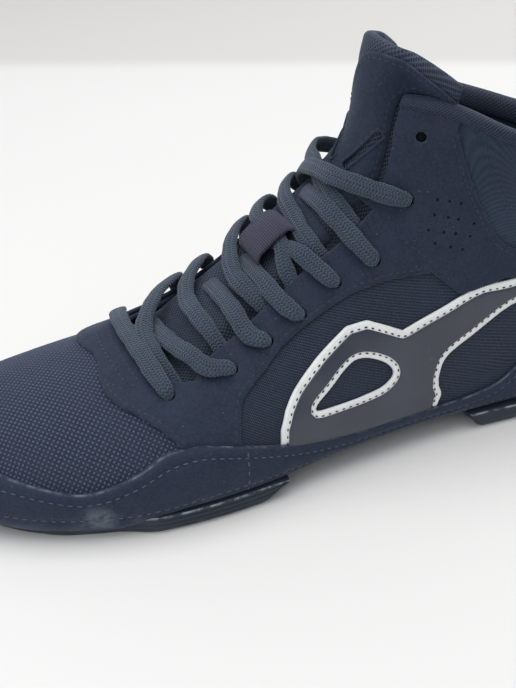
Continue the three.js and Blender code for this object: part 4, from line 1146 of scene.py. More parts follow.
def makePad(s, name, table, lugs, lugWidth, grooves, node):
    table = smoothLine(table, 14)
    xs = table[:, 0] * last["length"] - last["back"]
    cuts = np.concatenate([[x * last["length"] - last["back"] + d for d in (-1.35, -1.25, 1.25, 1.35)]
                           for x in lugs])
    stationsX = np.unique(np.round(np.concatenate([xs, cuts]), 3))[::-1]
    keep = np.ones(len(stationsX), bool)
    for k in range(1, len(stationsX)):
        if stationsX[k - 1] - stationsX[k] < 0.04:
            keep[k] = False
    stationsX = stationsX[keep]
    lat, med, rear, rise, high = (np.interp(-stationsX, -xs, table[:, k]) for k in range(1, 6))
    width = mixTo(last["ball"], last["heel"], rear)
    tuck = s["tuck"] * ease(s["tuckFrom"], s["tuckTo"], stationsX) if grooves else 0
    yl, ym = lat * width + s["ledge"] - tuck, med * width - s["ledge"] + tuck
    low, top = np.maximum(rise, 0) * last["lift"], high * last["lift"]
    taper = ease(0, s["endFore"], stationsX - stationsX.min()) if grooves \
        else ease(0, s["endHeel"], stationsX.max() - stationsX)
    low = low + (top - low - s["endThick"]) * (1 - taper) ** 1.4
    end = np.minimum(stationsX.max() - stationsX, stationsX - stationsX.min())
    pinch = np.sqrt(np.clip(end / s["pinch"], 0, 1))
    shares = np.r_[1.0, 0.96, 0.86, 0.82, 0.78, 0.74, 0.70, 0.64, 0.60, 0.56, 0.52, 0.48, 0.44, 0.38, 0.34,
                   0.30, 0.26, 0.22, 0.18, 0.12, 0.06, 0.02, 0.0]
    across = np.linspace(1, 0, 33)[1:-1]
    rings = []
    x0 = table[5 * 14, 0] * last["length"] - last["back"] if grooves else 0
    for k, x in enumerate(stationsX):
        ring, wall = [], []
        for share in shares:
            draft = mixTo(1, 0.2, share / 0.45) if share < 0.45 else mixTo(0.2, 0, (share - 0.45) / 0.55)
            near = 1 - min(1, (1 - share) / 0.10)
            inset = draft * s["draft"] + s["topRound"] * (1 - math.sqrt(max(0, 1 - near ** 2)))
            inset += s["footRound"] * (1 - math.sqrt(max(0, 1 - (1 - min(1, share / 0.10)) ** 2)))
            if grooves:
                for g, start in s["ribs"]:
                    within = float(ease(0, 5, x0 + start - x) * ease(-1, 3, x - stationsX.min()))
                    inset += s["depth"] * within * math.exp(-(((share - g) * (top[k] - low[k])) / 0.30) ** 4)
            wall.append((inset, mixTo(low[k], top[k], share)))
        bottom = low[k]
        lug = any(abs(x - (q * last["length"] - last["back"])) < s["lugHalf"] for q in lugs)
        ring += [(yl[k] - s["seat"], top[k])] + [(yl[k] - i, z) for i, z in wall]
        a, b = yl[k] - s["draft"] - s["footRound"], ym[k] + s["draft"] + s["footRound"]
        for t in across:
            y = mixTo(b, a, t)
            ring.append((y, bottom + (s["lugDepth"] if lug and abs(y) < lugWidth else 0)))
        ring += [(ym[k] + i, z) for i, z in wall[::-1]] + [(ym[k] + s["seat"], top[k])]
        mid, height = (yl[k] + ym[k]) / 2, (low[k] + top[k]) / 2
        rings.append([(x, mixTo(mid, y, pinch[k] ** 0.25 if pinch[k] < 1 else 1),
                       mixTo(height, z, max(pinch[k], 0.25))) for y, z in ring])
    rings = np.array(rings)
    n, m = rings.shape[:2]
    points = np.vstack([rings.reshape(-1, 3), [rings[0].mean(0)], [rings[-1].mean(0)]])
    faces = gridFaces(n, m, 0, True)
    faces += endCaps(n, m)
    rim = np.array([[min((1 - q) * (top[k] - low[k]), 9)
                     for q in np.r_[-9, shares, np.zeros(len(across)), shares[::-1], -9]]
                    for k in range(n)])
    return newPiece(name, points, faces, ["rubber"], (node,),
                    rim=np.concatenate([rim.ravel(), [9, 9]]))


makePad(padSet, "forefoot_pad", forefootPad, (.64, .70, .76, .82), 0.36 * last["ball"], True,
        "outsole_forefoot")
makePad(padSet, "heel_pad", heelPad, (.118, .198, .24), 0.30 * last["heel"], False, "outsole_heel")


footbedSet = {"inset": 3.4, "cup": 2.2, "thick": 3.6, "rise": 0.4}


def makeFootbed(s):
    rows = np.r_[1.1, 1.3, 1.6, np.arange(2.0, 13.2, 0.35), 13.4]
    share = np.linspace(-1, 1, 25)
    q = section(rows)
    x, floor = q[:, 2], q[:, 3] + last["wall"] + last["gap"]
    lat, med = q[:, 4] - s["inset"], q[:, 5] + s["inset"]
    end = np.clip((rows - 13.0) / 0.4, 0, 1)
    lat, med = lat * (1 - 0.35 * end ** 2), med * (1 - 0.35 * end ** 2)
    half, mid = (lat - med) / 2, (lat + med) / 2
    top, under = [], []
    for k in range(len(rows)):
        y = mid[k] + half[k] * share
        cup = s["cup"] * np.abs(share) ** 3
        full = 0.35 + 0.65 * float(ease(0, 1.2, k)) * float(ease(0, 1.2, len(rows) - 1 - k))
        puff = s["thick"] * np.sqrt(1 - np.abs(share) ** 8) * full
        top.append(np.stack([x[k] + 0 * y, y, floor[k] + s["rise"] + cup * 0.5 + puff], 1))
        under.append(np.stack([x[k] + 0 * y, y, floor[k] + s["rise"] + cup * 0.5], 1))
    n, m = len(rows), len(share)
    points = np.vstack([np.array(top).reshape(-1, 3), np.array(under).reshape(-1, 3)])
    faces = gridFaces(n, m) + [f[::-1] for f in gridFaces(n, m, n * m)]
    faces += sideWalls(n, m)
    return newPiece("footbed", points, faces, ["footbed"], ("insole",), weld=0.001)


makeFootbed(footbedSet)
print("sole made")

# tongue
tongueSet = {"front": 5.1, "rise": 12.0, "wall": 4.0, "crown": 0.9, "lean": 4.6}
tongueTop = 16.55 + tongueSet["rise"] / (0.064 * last["collar"])


def throatOpen(row):
    return np.where(row < 6, 0, np.where(row > 16.2, 23,
                                         np.interp(row, throatDense[:, 0], throatDense[:, 1]) - 2))


def tongueFace(row, angle):
    opened = throatOpen(row)
    lift = np.minimum(np.minimum(1, np.clip((opened - np.abs(angle)) / 9, 0, None)),
                      np.clip(row - 6.1, 0, None))
    crown = tongueSet["crown"] * np.clip(1 - (angle / 26.0) ** 2, 0, 1) * ease(6.2, 7.5, row)
    held = ease(13, 27, np.abs(angle)) * (1 - ease(16.5, 17.5, row))
    lean = tongueSet["lean"] * ease(13.0, 17.3, row) * (1 - held)
    return mixTo(-3.1, -0.4, lift * lift * (3 - 2 * lift)) + crown + lean - 0.5


def makeTongue(s):
    u = np.r_[0, 0.003, 0.008, 0.016, np.linspace(0.03, 0.95, 74), 0.962, 0.973, 0.982, 0.989, 0.994, 0.998,
              1.0]
    v = np.r_[-1, -0.995, -0.98, -0.955, np.linspace(-0.92, 0.92, 40), 0.955, 0.98, 0.995, 1]
    uu, vv = np.meshgrid(u, v, indexing="ij")
    top = tongueTop - 0.35 * np.abs(vv) ** 3
    row = mixTo(s["front"], top, uu)
    angle = vv * mixTo(36, 50, np.minimum(1, uu * 1.4))
    edge = np.minimum(np.minimum((1 - np.abs(vv)) * 28, (1 - uu) * 112), uu * 112)
    full = np.sqrt(np.clip(1 - (1 - np.clip(edge / 2.4, 0, 1)) ** 2, 0, 1))
    fat = s["wall"] / 2 * (1 + 0.30 * ease(16.4, 17.4, row))
    face = tongueFace(row, angle)
    middle = face - fat
    outer, inner = skin(row, angle, middle + fat * full), skin(row, angle, middle - fat * full)
    n, m = row.shape
    points = np.vstack([outer.reshape(-1, 3), inner.reshape(-1, 3)])
    faces = gridFaces(n, m) + [f[::-1] for f in gridFaces(n, m, n * m)]
    uv = flow(row, angle).reshape(-1, 2)
    piece = newPiece("tongue_padded", points, faces, ["honeycomb"], ("tongue",),
                     {"flow": np.vstack([uv, uv])}, rim=np.full(len(points), 9.0), weld=0.004)
    return piece


makeTongue(tongueSet)
patchLine = [(11.4, 0), (11.42, 12), (11.55, 21), (12.3, 24.3), (13.4, 22.0), (14.85, 20.6), (15.7, 21.4),
             (16.3, 26), (16.6, 36), (16.78, 46), (16.95, 49), (17.15, 44), (17.34, 34), (17.53, 24),
             (17.57, 17), (17.48, 9), (17.28, 2), (16.95, -3), (16.5, -7), (15.7, -12), (14.85, -17),
             (13.4, -20.5), (12.3, -23.5), (11.55, -20), (11.42, -12)]
bandHalf = [(9.78, 0), (9.78, 22), (10.5, 23), (10.5, 0)]


def slotLine(side, grow=0.0):  # narrow slanting slot through the patch
    middle = np.stack([np.linspace(12.45, 14.35, 9), np.linspace(5.6, 16.6, 9)], 1) * (1, side)
    p = skin(middle[:, 0], middle[:, 1], 0, False)
    along = np.gradient(p, axis=0)
    along /= np.linalg.norm(along, axis=1, keepdims=True)
    across = np.cross(outward(middle[:, 0], middle[:, 1]), along) * (1.35 + grow)
    one, two = (np.stack(shifted(middle[:, 0], middle[:, 1], across * k), 1) for k in (1, -1))
    ends = [np.stack(shifted(middle[k, :1], middle[k, 1:], (along[k] * q * (1.0 + grow))[None]), 1)
            for k, q in ((-1, 1), (0, -1))]
    return smoothLine(np.vstack([one, ends[0], two[::-1], ends[1]]), 3, True)


slots = [slotLine(side) for side in (1, -1)]
patchDense = smoothLine(patchLine, 5, True)
sheet("tongue_patch_suede", patchDense, slots, 0.05, 1.25, 1.8, "suede", ("tongue_patch",),
      base=tongueFace, rounding=0.8)
sheet("tongue_band", both(smoothLine(bandHalf, 6, sharp=(1, 2))[1:-1]), [], 0.05, 0.8, 1.8, "suede",
      base=tongueFace, rounding=0.6)


def makePiping(name, line, radius, lift, look, closed=True, nodes=()):
    line = evenLine(line, 0.8, closed)
    p = skin(line[:, 0], line[:, 1], tongueFace(line[:, 0], line[:, 1]) + lift)
    n = outward(line[:, 0], line[:, 1])
    return makeTube(name, p, n, np.full(len(p), radius * 2), np.full(len(p), radius * 2), look, 8,
                    closed, nodes)


def makeTube(name, path, facing, widths, thicks, look, sides=16, closed=False, nodes=(), power=0.8):
    t = np.roll(path, -1, 0) - np.roll(path, 1, 0)
    if not closed:
        t[0], t[-1] = path[1] - path[0], path[-1] - path[-2]
    t /= np.linalg.norm(t, axis=1, keepdims=True)
    n = facing - (facing * t).sum(1, keepdims=True) * t
    n /= np.linalg.norm(n, axis=1, keepdims=True)
    b = np.cross(n, t)
    turn = np.linspace(0, 2 * math.pi, sides, endpoint=False)
    c, q = np.cos(turn), np.sin(turn)
    c, q = np.sign(c) * np.abs(c) ** power, np.sign(q) * np.abs(q) ** power
    rings = path[:, None] + b[:, None] * (c[None, :, None] * widths[:, None, None] / 2) \
        + n[:, None] * (q[None, :, None] * thicks[:, None, None] / 2)
    count, m = rings.shape[:2]
    faces = gridFaces(count, m, 0, True)
    points = rings.reshape(-1, 3)
    if closed:
        faces += [((count - 1) * m + k, (count - 1) * m + (k + 1) % m, (k + 1) % m, k) for k in range(m)]
    else:
        points = np.vstack([points, [rings[0].mean(0)], [rings[-1].mean(0)]])
        faces += endCaps(count, m)
    s = lengthsAlong(path)
    around = np.linspace(0, 1, m, endpoint=False) * 15.0 - 3.75
    around = np.minimum(around, 7.5 - around)
    uv = np.stack(np.meshgrid(s, around, indexing="ij"), -1).reshape(-1, 2)
    if not closed:
        uv = np.vstack([uv, uv[:1], uv[-1:]])
    if name is None:
        return points, faces, uv
    return newPiece(name, points, faces, [look], nodes, {"flow": uv}, rim=np.full(len(points), 9.0))


for side in (1, -1):
    makePiping("slot_piping_" + ("outer" if side > 0 else "inner"), slotLine(side, 0.30), 0.55, 1.25, "suede")
print("tongue made")

# laces: row, angle, height above the last, share of full width, share of full thickness
laceSet = {"width": 6.9, "thick": 2.5, "step": 0.8}
fromOuter = {
    2: [(7.0, 41.5, -2.0, .55, 1.1), (6.99, 41.3, 1.4, .62, 1.1), (6.90, 40, 3.3, .85, 1.05),
        (6.62, 36, 3.6, 1, 1), (6.43, 26, 3.2, 1, 1), (6.26, 16, 2.3, 1, 1), (6.14, 2, 1.4, 1, 1),
        (6.12, -12, 0.6, .95, 1), (6.14, -25, -1.2, .9, 1), (6.16, -33, -2.6, .85, 1)],
    3: [(7.9, 40.5, -2.0, .55, 1.1), (7.89, 40.3, 1.4, .62, 1.1), (7.80, 39, 3.3, .85, 1.05),
        (7.60, 34, 3.6, 1, 1), (7.57, 17, 2.8, 1, 1), (7.53, 0, 1.6, 1, 1), (7.50, -12, 1.2, 1, 1),
        (7.48, -22, 0.2, .95, 1), (7.46, -30, -2.2, .9, 1)],
    4: [(8.8, 40.5, -2.0, .55, 1.1), (8.79, 40.3, 1.4, .62, 1.1), (8.71, 38.5, 3.3, .85, 1.05),
        (8.57, 31, 3.6, 1, 1), (8.46, 13, 2.7, 1, 1), (8.42, -2, 1.6, 1, 1), (8.40, -13, 1.2, 1, 1),
        (8.38, -22, 0.2, .95, 1), (8.36, -30, -2.2, .9, 1)],
    5: [(9.9, 39.5, -2.0, .55, 1.1), (9.89, 39.2, 1.4, .62, 1.1), (9.80, 36.5, 3.4, .85, 1.05),
        (9.66, 27, 3.7, 1, 1), (9.54, 17, 3.6, .9, 1.1), (9.34, 8, 2.4, .78, 1.2), (9.16, -3, 1.8, .75, 1.2),
        (9.05, -13, 1.4, .9, 1), (8.98, -21, 0.2, .95, 1), (8.95, -29, -2.2, .9, 1)],
    6: [(11.05, 43, -2.0, .55, 1.1), (11.04, 42.7, 1.4, .62, 1.1), (10.99, 41, 3.3, .85, 1.05),
        (10.93, 33, 3.9, 1, 1), (10.91, 19, 3.3, 1, 1), (10.90, 3, 2.6, 1, 1), (10.86, -10, 1.8, 1, 1),
        (10.82, -20, 0.6, .95, 1), (10.80, -30, -2.2, .9, 1)],
    7: [(13.15, 37, -2.0, .55, 1.1), (13.14, 36.8, 1.5, .62, 1.1), (13.06, 35, 3.5, .85, 1.05),
        (12.80, 30, 4.1, 1, 1), (12.44, 22, 5.0, 1, 1), (11.97, 9, 6.6, 1, 1), (11.72, -4, 7.6, 1, 1),
        (11.50, -13, 8.2, 1, 1), (11.30, -21, 6.4, 1, 1), (11.18, -26, 2.4, .95, 1),
        (11.12, -31, -2.2, .9, 1)],
}
fromInner = {
    2: [(7.0, -41.5, -2.0, .55, 1.1), (7.0, -41.2, 1.6, .62, 1.1), (7.02, -37, 4.8, .9, 1),
        (7.02, -30, 7.2, 1, 1), (6.90, -23, 8.2, 1, 1), (6.58, -17, 8.4, 1, 1), (6.32, -11, 7.6, 1, 1),
        (5.97, -1, 5.4, 1, 1), (5.86, 8, 3.8, 1, 1), (5.87, 17, 2.9, .9, 1), (5.92, 25, 0.4, .8, 1),
        (6.0, 33, -2.4, .7, 1)],
    3: [(7.9, -40.5, -2.0, .55, 1.1), (7.9, -40.2, 1.6, .62, 1.1), (7.84, -36, 5.2, .9, 1),
        (7.76, -29, 8.2, 1, 1), (7.60, -21, 9.2, 1, 1), (7.16, -13, 7.4, 1, 1), (6.92, -3, 5.0, 1, 1),
        (6.90, 8, 4.4, 1, 1), (6.93, 17, 3.4, .95, 1), (6.96, 24, 1.4, .85, 1), (6.99, 31, -1.6, .8, 1),
        (7.0, 35, -2.8, .75, 1)],
    4: [(8.8, -40.5, -2.0, .55, 1.1), (8.82, -40.2, 1.6, .62, 1.1), (8.98, -36, 5.6, .9, 1),
        (9.08, -29, 9.6, 1, 1), (8.98, -22, 11.2, 1, 1), (8.62, -16, 10.0, 1, 1), (8.25, -7, 7.0, 1, 1),
        (8.05, 4, 4.8, 1, 1), (8.06, 13, 4.2, 1, 1), (8.13, 21, 2.6, .9, 1), (8.20, 28, -0.8, .8, 1),
        (8.24, 33, -2.8, .75, 1)],
    5: [(9.9, -39.5, -2.0, .55, 1.1), (9.92, -39.2, 1.6, .62, 1.1), (10.0, -35, 6.0, .9, 1),
        (9.96, -28, 10.4, 1, 1), (9.70, -21, 11.8, 1, 1), (9.42, -15, 9.8, .95, 1), (9.40, -9, 6.4, .8, 1.15),
        (9.46, 0, 4.3, .75, 1.15), (9.36, 8, 4.2, .8, 1.1), (9.10, 17, 3.0, .9, 1), (9.00, 25, 0.6, .85, 1),
        (8.97, 32, -2.6, .8, 1)],
    6: [(11.05, -43, -2.0, .55, 1.1), (11.06, -42.6, 1.6, .62, 1.1), (11.10, -37, 5.6, .9, 1),
        (11.0, -30, 9.4, 1, 1), (10.78, -22, 10.2, 1, 1), (10.36, -13, 7.0, 1, 1), (10.12, -2, 3.2, 1, 1),
        (9.96, 10, 2.2, 1, 1), (9.94, 18, 1.6, .95, 1), (9.97, 25, -0.4, .85, 1), (10.0, 31, -2.8, .8, 1)],
    7: [(13.15, -37, -2.0, .55, 1.1), (13.15, -36.6, 1.8, .62, 1.1), (12.98, -33, 7.0, .9, 1),
        (12.55, -27, 12.0, 1, 1), (12.10, -19, 9.4, 1, 1), (11.86, -11, 5.0, 1, 1), (11.50, -2, 2.6, 1, 1),
        (11.30, 9, 2.2, 1, 1), (11.24, 18, 1.6, 1, 1), (11.20, 26, 0.6, .9, 1), (11.18, 31, -1.8, .8, 1),
        (11.17, 35, -3.0, .8, 1)],
}
firstBar = [(5.78, 38, -2.0, .55, 1.1), (5.77, 37.7, 1.4, .62, 1.1), (5.75, 35.5, 3.3, .85, 1.05),
            (5.70, 27, 3.9, 1, 1), (5.65, 12, 4.2, 1, 1), (5.62, -4, 4.6, 1, 1), (5.64, -16, 5.0, 1, 1),
            (5.70, -26, 4.4, 1, 1), (5.76, -34, 3.5, .9, 1), (5.78, -37.6, 1.5, .62, 1.1),
            (5.78, -38, -2.0, .55, 1.1)]


def laceRun(stops):
    s = laceSet
    line = smoothLine(stops, 14)
    line[:, 2] -= 0.22 * np.maximum(line[:, 2] - 5, 0)
    p = skin(line[:, 0], line[:, 1], line[:, 2], False)
    d = np.concatenate([[0], np.cumsum(np.linalg.norm(np.diff(p, axis=0), axis=1))])
    at = np.linspace(0, d[-1], int(d[-1] / s["step"]) + 2)
    path = np.stack([np.interp(at, d, p[:, k]) for k in range(3)], 1)
    w, t, row, angle = (np.interp(at, d, line[:, k]) for k in (3, 4, 0, 1))
    wobble = 1 + 0.035 * np.sin(at * 0.55 + stops[0][0]) + 0.02 * np.sin(at * 1.3)
    return makeTube(None, path, outward(row, angle), s["width"] * w * wobble, s["thick"] * t, None, 18)


def makeLaces(name, runs, node):
    points, faces, uv = [], [], []
    for stops in runs:
        p, f, q = laceRun(stops)
        n = sum(len(v) for v in points)
        points.append(p)
        faces += [tuple(v + n for v in face) for face in f]
        uv.append(q)
    points, uv = np.vstack(points), np.vstack(uv)
    return newPiece(name, points, faces, ["lace"], (node,), {"flow": uv})


makeLaces("lace_outside_bar", [firstBar], "lace_bar_1")
for k in range(2, 8):
    makeLaces(f"lace_crossing_{k}", [fromOuter[k], fromInner[k]], f"lace_cross_{k}")


loopSet = {  # arch: row, height; middle and half spread in degrees, half width and thickness in mm
    "arch": [(8.60, -0.2), (8.62, 2.6), (8.70, 5.8), (8.92, 7.3), (9.30, 7.7), (9.62, 7.2), (9.80, 5.6),
             (9.86, 2.4), (9.87, -0.2)],
    "middle": -4.5, "spread": 12.5, "half": 6.5, "thick": 1.0, "droop": 0.5, "columns": 15,
}


def makeLoop(s):
    stops = smoothLine(s["arch"], 8)
    across = np.linspace(-1, 1, s["columns"])
    rows, heights = stops[:, 0], stops[:, 1]
    grids = []
    for lift in (0.45, -0.45):
        grid = []
        for r, h in zip(rows, heights):
            angle = s["middle"] + s["spread"] * across
            height = h + lift - s["droop"] * np.abs(across) ** 3
            grid.append(skin(np.full(len(across), r), angle, height, False))
        grids.append(np.array(grid))
    n, m = grids[0].shape[:2]
    centre = grids[0][:, 7]
    t = np.gradient(centre, axis=0)
    side = grids[0][:, -1] - grids[0][:, 0]
    normal = np.cross(side, t)
    normal /= np.linalg.norm(normal, axis=1, keepdims=True)
    middle = (grids[0] + grids[1]) / 2
    if (normal[n // 2] * (centre[n // 2] - (68, 0, 40))).sum() < 0:
        normal = -normal
    points = np.vstack([(middle + normal[:, None] * s["thick"] / 2).reshape(-1, 3),
                        (middle - normal[:, None] * s["thick"] / 2).reshape(-1, 3)])
    faces = gridFaces(n, m) + [f[::-1] for f in gridFaces(n, m, n * m)]
    faces += sideWalls(n, m)
    uv = np.stack(np.meshgrid(lengthsAlong(centre), across * s["half"], indexing="ij"), -1)
    uv = uv.reshape(-1, 2)
    return newPiece("keeper_loop", points, faces, ["loop"], ("lace_loop",),
                    {"flow": np.vstack([uv, uv])})


makeLoop(loopSet)
print("laces made")


# stitches, and near-black discs of painted shade for the perforations and eyelets, with Geometry Nodes
def repeatTree(name, kind, look):
    tree = bpy.data.node_groups.new(name, "GeometryNodeTree")
    face = tree.interface
    face.new_socket("Geometry", in_out="INPUT", socket_type="NodeSocketGeometry")
    sockets = {}
    for key, value in (("Pitch", 2.6), ("Length", 1.7), ("Width", 0.55), ("Height", 0.4), ("Wander", 0.1)):
        socket = face.new_socket(key, in_out="INPUT", socket_type="NodeSocketFloat")
        socket.default_value = value
        sockets[key] = socket.identifier
    face.new_socket("Geometry", in_out="OUTPUT", socket_type="NodeSocketGeometry")

    def add(nodeKind, settings=None, inputs=None):
        node = tree.nodes.new(nodeKind)
        for key, value in (settings or {}).items():
            setattr(node, key, value)
        for key, value in (inputs or {}).items():
            socket = node.inputs[key]
            if hasattr(value, "is_linked"):
                tree.links.new(value, socket)
            else:
                socket.default_value = value
        return node

    entry = add("NodeGroupInput").outputs
    if kind == "stitch":
        curve = add("GeometryNodeMeshToCurve", None, {0: entry["Geometry"]}).outputs[0]
        spaced = add("GeometryNodeResampleCurve", {"mode": "LENGTH"},
                     {"Curve": curve, "Length": entry["Pitch"]}).outputs[0]
        spots = add("GeometryNodeCurveToPoints", {"mode": "EVALUATED"}, {0: spaced})
        place, tangent = spots.outputs["Points"], spots.outputs["Tangent"]
        shape = add("GeometryNodeMeshUVSphere", None, {"Segments": 6, "Rings": 5, "Radius": 0.5}).outputs[0]
        along = add("FunctionNodeAlignRotationToVector", {"axis": "X"}, {"Vector": tangent}).outputs[0]
    else:
        place = add("GeometryNodeMeshToPoints", None, {0: entry["Geometry"]}).outputs[0]
        shape = add("GeometryNodeMeshCylinder", None,
                    {"Vertices": 12, "Radius": 0.5, "Depth": 1.0}).outputs[0]
        along = None
    up = add("GeometryNodeInputNamedAttribute", {"data_type": "FLOAT_VECTOR"}, {"Name": "up"}).outputs[0]
    facing = add("FunctionNodeAlignRotationToVector",
                 {"axis": "Z", "pivot_axis": "X" if along is not None else "AUTO"},
                 {"Vector": up})
    if along is not None:
        tree.links.new(along, facing.inputs["Rotation"])
    jitter = add("FunctionNodeRandomValue", {"data_type": "FLOAT"}, {"Seed": 7}).outputs[1]
    size = add("ShaderNodeCombineXYZ", None,
               {0: entry["Length"], 1: entry["Width"], 2: entry["Height"]}).outputs[0]
    spread = add("ShaderNodeMath", {"operation": "MULTIPLY_ADD"},
                 {0: jitter, 1: entry["Wander"], 2: 0.95}).outputs[0]
    scaled = add("ShaderNodeVectorMath", {"operation": "SCALE"}, {0: size, "Scale": spread}).outputs[0]
    copies = add("GeometryNodeInstanceOnPoints", None, {"Points": place, "Instance": shape,
                                                        "Rotation": facing.outputs[0],
                                                        "Scale": scaled}).outputs[0]
    real = add("GeometryNodeRealizeInstances", None, {0: copies}).outputs[0]
    smooth = add("GeometryNodeSetShadeSmooth", None, {0: real, "Shade Smooth": True}).outputs[0]
    painted = add("GeometryNodeSetMaterial", None, {0: smooth, "Material": look}).outputs[0]
    out = tree.nodes.new("NodeGroupOutput")
    tree.links.new(painted, out.inputs[0])
    return tree, sockets


def repeated(name, kind, look, runs, sizes):  # runs: (points, ups, closed)
    points, ups, edges = [], [], []
    for p, n, closed in runs:
        k = len(points)
        points += list(p * 0.001)
        ups += list(n)
        if kind == "stitch":
            edges += [(k + i, k + i + 1) for i in range(len(p) - 1)]
            edges += [(k + len(p) - 1, k)] if closed else []
    mesh = bpy.data.meshes.new(name + "_path")
    mesh.from_pydata([tuple(p) for p in points], edges, [])
    upward = mesh.attributes.new("up", "FLOAT_VECTOR", "POINT")
    upward.data.foreach_set("vector", np.array(ups, dtype=np.float32).ravel())
    path = bpy.data.objects.new(name + "_path", mesh)
    bpy.context.collection.objects.link(path)
    tree, sockets = repeatTree(name + "_tree", kind, looks[look])
    modifier = path.modifiers.new("repeat", "NODES")
    modifier.node_group = tree
    for key, value in sizes.items():
        modifier[sockets[key]] = value if key == "Wander" else value * 0.001
    baked = bpy.data.meshes.new_from_object(path.evaluated_get(bpy.context.evaluated_depsgraph_get()))
    bpy.data.objects.remove(path)
    baked.name = name
    piece = bpy.data.objects.new(name, baked)
    bpy.context.collection.objects.link(piece)
    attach(piece, "root")
    print(name, len(baked.polygons), "faces")
    return piece


def runOn(line, offset, closed=False, base=None):  # stitch path lying on an overlay
    line = evenLine(line, 0.6, closed)
    ground = base(line[:, 0], line[:, 1]) if base is not None else 0
    return skin(line[:, 0], line[:, 1], ground + offset), outward(line[:, 0], line[:, 1]), closed


def beside(line, distance):  # the same line moved sideways in the skin
    line = evenLine(line, 1.0)
    way = inward(line, False)
    row, angle = shifted(line[:, 0], line[:, 1], way * distance)
    return np.stack([row, angle], 1)


def towards(line, distance, target):  # sideways, to the side on which the target lies
    a, b = beside(line, distance), beside(line, -distance)
    gap = [np.linalg.norm(skin(v[:, 0], v[:, 1]).mean(0) - skin(*target)) for v in (a, b)]
    return a if gap[0] < gap[1] else b


navyRuns, paleRuns = [], []
face = trimHigh + 0.04
for side in (1, -1):
    mirror = np.array((1, side))
    throat = throatPart(5.95, 12.3) * mirror
    navyRuns.append(runOn(towards(throat, 2.9, (9.0, side * 50.0)), trimHigh - 0.18))
    seam = smoothLine([(4.78, 18), (4.79, 26), (4.92, 34), (5.22, 45), (5.45, 55), (5.60, 64)], 6) * mirror
    navyRuns.append(runOn(towards(seam, 2.0, (6.5, side * 50.0)), trimHigh - 0.10))
    window = smoothLine(sided(windowEdge, side), 6)
    navyRuns.append(runOn(towards(window, 2.0, (6.2, side * 40.0)), trimHigh - 0.10))
    front = smoothLine(sided(ankleFront, side), 6)
    navyRuns.append(runOn(towards(front, 2.1, (13.5, side * 60.0)), trimHigh + 0.12))
    rear = smoothLine(sided(ankleRear, side), 6)
    navyRuns.append(runOn(towards(rear, 2.1, (13.0, side * 50.0)), trimHigh + 0.12))
    rib = smoothLine([onSide(x, z, side, 0)
                      for x, z in ((.315, .955), (.299, .885), (.270, .762), (.250, .676))], 6)
    for d in (0.0, 1.7):
        navyRuns.append(runOn(towards(rib, 0.01 + d, (14.5, side * 150.0)), 0.08))
navyRuns.append(runOn(tabLine, trimHigh - 0.12))
navyRuns.append(runOn(smoothLine([(5.14, -18), (5.10, -8), (5.10, 6), (5.12, 15), (5.16, 21)], 6), face))
navyRuns.append(runOn(smoothLine([(5.56, -6), (5.57, 6), (5.60, 15), (5.66, 24), (5.82, 33)], 6),
                      trimHigh - 0.10))
ring = evenLine(patchDense, 1.0, True)
run = np.stack(shifted(ring[:, 0], ring[:, 1], inward(ring) * 2.0), 1)
navyRuns.append(runOn(run, 1.24, True, tongueFace))
for side in (1, -1):
    navyRuns.append(runOn(slotLine(side, 0.85), 1.24, True, tongueFace))
for k, drop in ((0, wrapSet["seamDrop"]), (1, None)):
    faceGrid = wrapOut[:, :wrapDrop.shape[1]]
    target = wrapDrop - drop if drop else faceGrid[:, :, 2] - seamTwo(faceGrid[:, :, 0])
    at, end = np.abs(target).argmin(1), wrapSet["rows"] - 1
    path = []
    for i, j in enumerate(at):
        j2 = int(np.clip(j + (1 if target[i, j] * target[i, min(j + 1, end)] < 0 else -1), 0, end))
        a, b = target[i, j], target[i, j2]
        t = 0 if a == b else np.clip(a / (a - b), 0, 1)
        path.append(mixTo(wrapOut[i, j], wrapOut[i, j2], t))
    path = np.array(path)
    level = np.stack([stations[:, 2], stations[:, 3], np.full(len(stations), 0.35)], 1)
    level /= np.linalg.norm(level, axis=1, keepdims=True)
    paleRuns.append((path + level * 0.10, level, True))
spot = np.argmin(np.abs(wrapOut[:wrapSet["side"], 0, 0] - (0.636 * last["length"] - last["back"])))
crossPath = wrapOut[spot, 3:27]
paleRuns.append((crossPath + (0, 0.12, 0), np.tile((0, 1.0, 0.2), (len(crossPath), 1)), False))
stitchSizes = {"Pitch": 2.7, "Length": 1.9, "Width": 0.52, "Height": 0.42, "Wander": 0.12}
repeated("seam_stitches", "stitch", "thread", navyRuns, stitchSizes)
repeated("wrap_stitches", "stitch", "paleThread", paleRuns,
         {**stitchSizes, "Pitch": 3.3, "Length": 2.1})
repeated("edging_stitches", "stitch", "darkThread",
         [runOn(line, offset + 0.05, closed) for line, offset, closed in darkRuns],
         {**stitchSizes, "Pitch": 2.9, "Length": 1.35, "Width": 0.62})

# perforations drawn as near-black discs: painted shade inside the holes
perforations = [(13.90, 45), (14.14, 49), (14.32, 53), (13.42, 46), (13.69, 50), (13.87, 53), (14.11, 58),
                (12.91, 47), (13.21, 51), (13.45, 54), (13.72, 58), (12.76, 51), (13.03, 55), (13.24, 58)]
spots = np.array([(r, a * side) for r, a in perforations for side in (1, -1)])
dots = [(skin(spots[:, 0], spots[:, 1], trimHigh + 0.18), outward(spots[:, 0], spots[:, 1]), False)]
repeated("perforations", "dot", "hole", dots,
         {"Length": 1.15, "Width": 1.15, "Height": 0.12, "Wander": 0.1})
# eyelet wells drawn as flat near-black discs: painted shade inside the eyelet holes
spots = np.array([(r, a * side) for r, a in eyelets for side in (1, -1)])
dots = [(skin(spots[:, 0], spots[:, 1], 0.12), outward(spots[:, 0], spots[:, 1]), False)]
repeated("eyelet_wells", "dot", "hole", dots,
         {"Length": 4.3, "Width": 4.3, "Height": 0.2, "Wander": 0.0})
print("stitches and holes made")


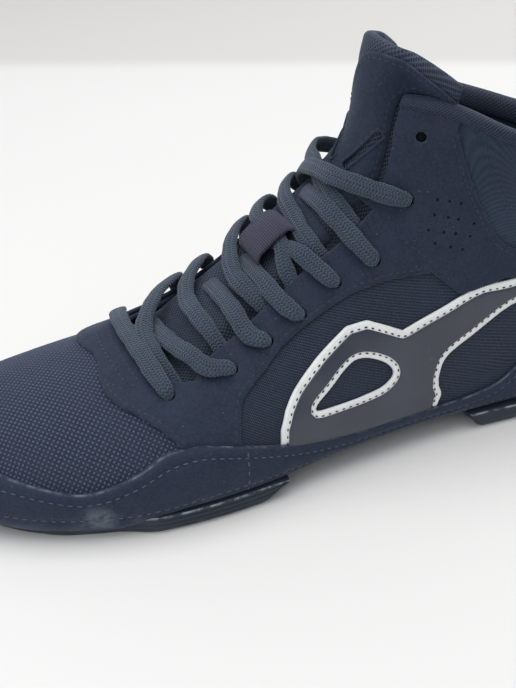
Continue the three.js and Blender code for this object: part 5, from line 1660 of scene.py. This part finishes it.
# floor, backdrop tone and soft light
floorSet = {"size": 4.0, "near": (0.695, 0.686, 0.676), "light": (0.712, 0.703, 0.692),
            "far": (0.590, 0.580, 0.560)}


def makeFloor(s):
    work = bmesh.new()
    bmesh.ops.create_grid(work, x_segments=8, y_segments=8, size=s["size"])
    mesh = bpy.data.meshes.new("paleFloor")
    work.to_mesh(mesh)
    work.free()
    look = Look("paleFloor")
    x, y, _ = look.split(look.place())
    away = x * -0.3827 + y * -0.9239  # along the camera's heading
    far = look.ramp(away + (x * 0.9239 - y * 0.3827) * 0.02, 0.376, 0.404)
    soft = look.noise(6, 2.0)
    near = look.blend(soft, s["near"], s["light"])
    look.finish(look.blend(far, near, s["far"]), 0.75, look.wear(look.noise(300, 2.0), 0.0002, 0.2),
                {"Specular IOR Level": 0.2})
    mesh.materials.append(look.material)
    floor = bpy.data.objects.new("paleFloor", mesh)
    bpy.context.collection.objects.link(floor)


softLights = [  # name, place and target in m, size in m, watts, colour
    ("topSoft", (0.24, -0.02, 1.12), (0.10, 0.0, 0.05), (1.1, 1.1), 11.3, (1.0, 0.985, 0.965)),
    ("sideSoft", (0.75, 0.55, 0.60), (0.12, 0.0, 0.05), (0.8, 0.6), 2.6, (0.92, 0.96, 1.0)),
    ("backSoft", (-0.60, -0.45, 0.55), (0.05, 0.0, 0.08), (0.7, 0.5), 2.2, (1.0, 1.0, 1.0)),
]


def makeLight(name, place, target, size, power, colour):
    data = bpy.data.lights.new(name, "AREA")
    data.shape, data.size, data.size_y = "RECTANGLE", size[0], size[1]
    data.energy, data.color = power, colour
    light = bpy.data.objects.new(name, data)
    bpy.context.collection.objects.link(light)
    light.location = place
    light.rotation_euler = (Vector(target) - Vector(place)).to_track_quat("-Z", "Y").to_euler()


makeFloor(floorSet)
world = bpy.data.worlds.new("studio")
bpy.context.scene.world = world
world.use_nodes = True
world.node_tree.nodes["Background"].inputs[0].default_value = (0.92, 0.95, 1.0, 1.0)
world.node_tree.nodes["Background"].inputs[1].default_value = 0.54
for name, place, target, size, power, colour in softLights:
    makeLight(name, place, target, size, power, colour)
bpy.context.scene.view_settings.view_transform = "Standard"
print("floor and light made")
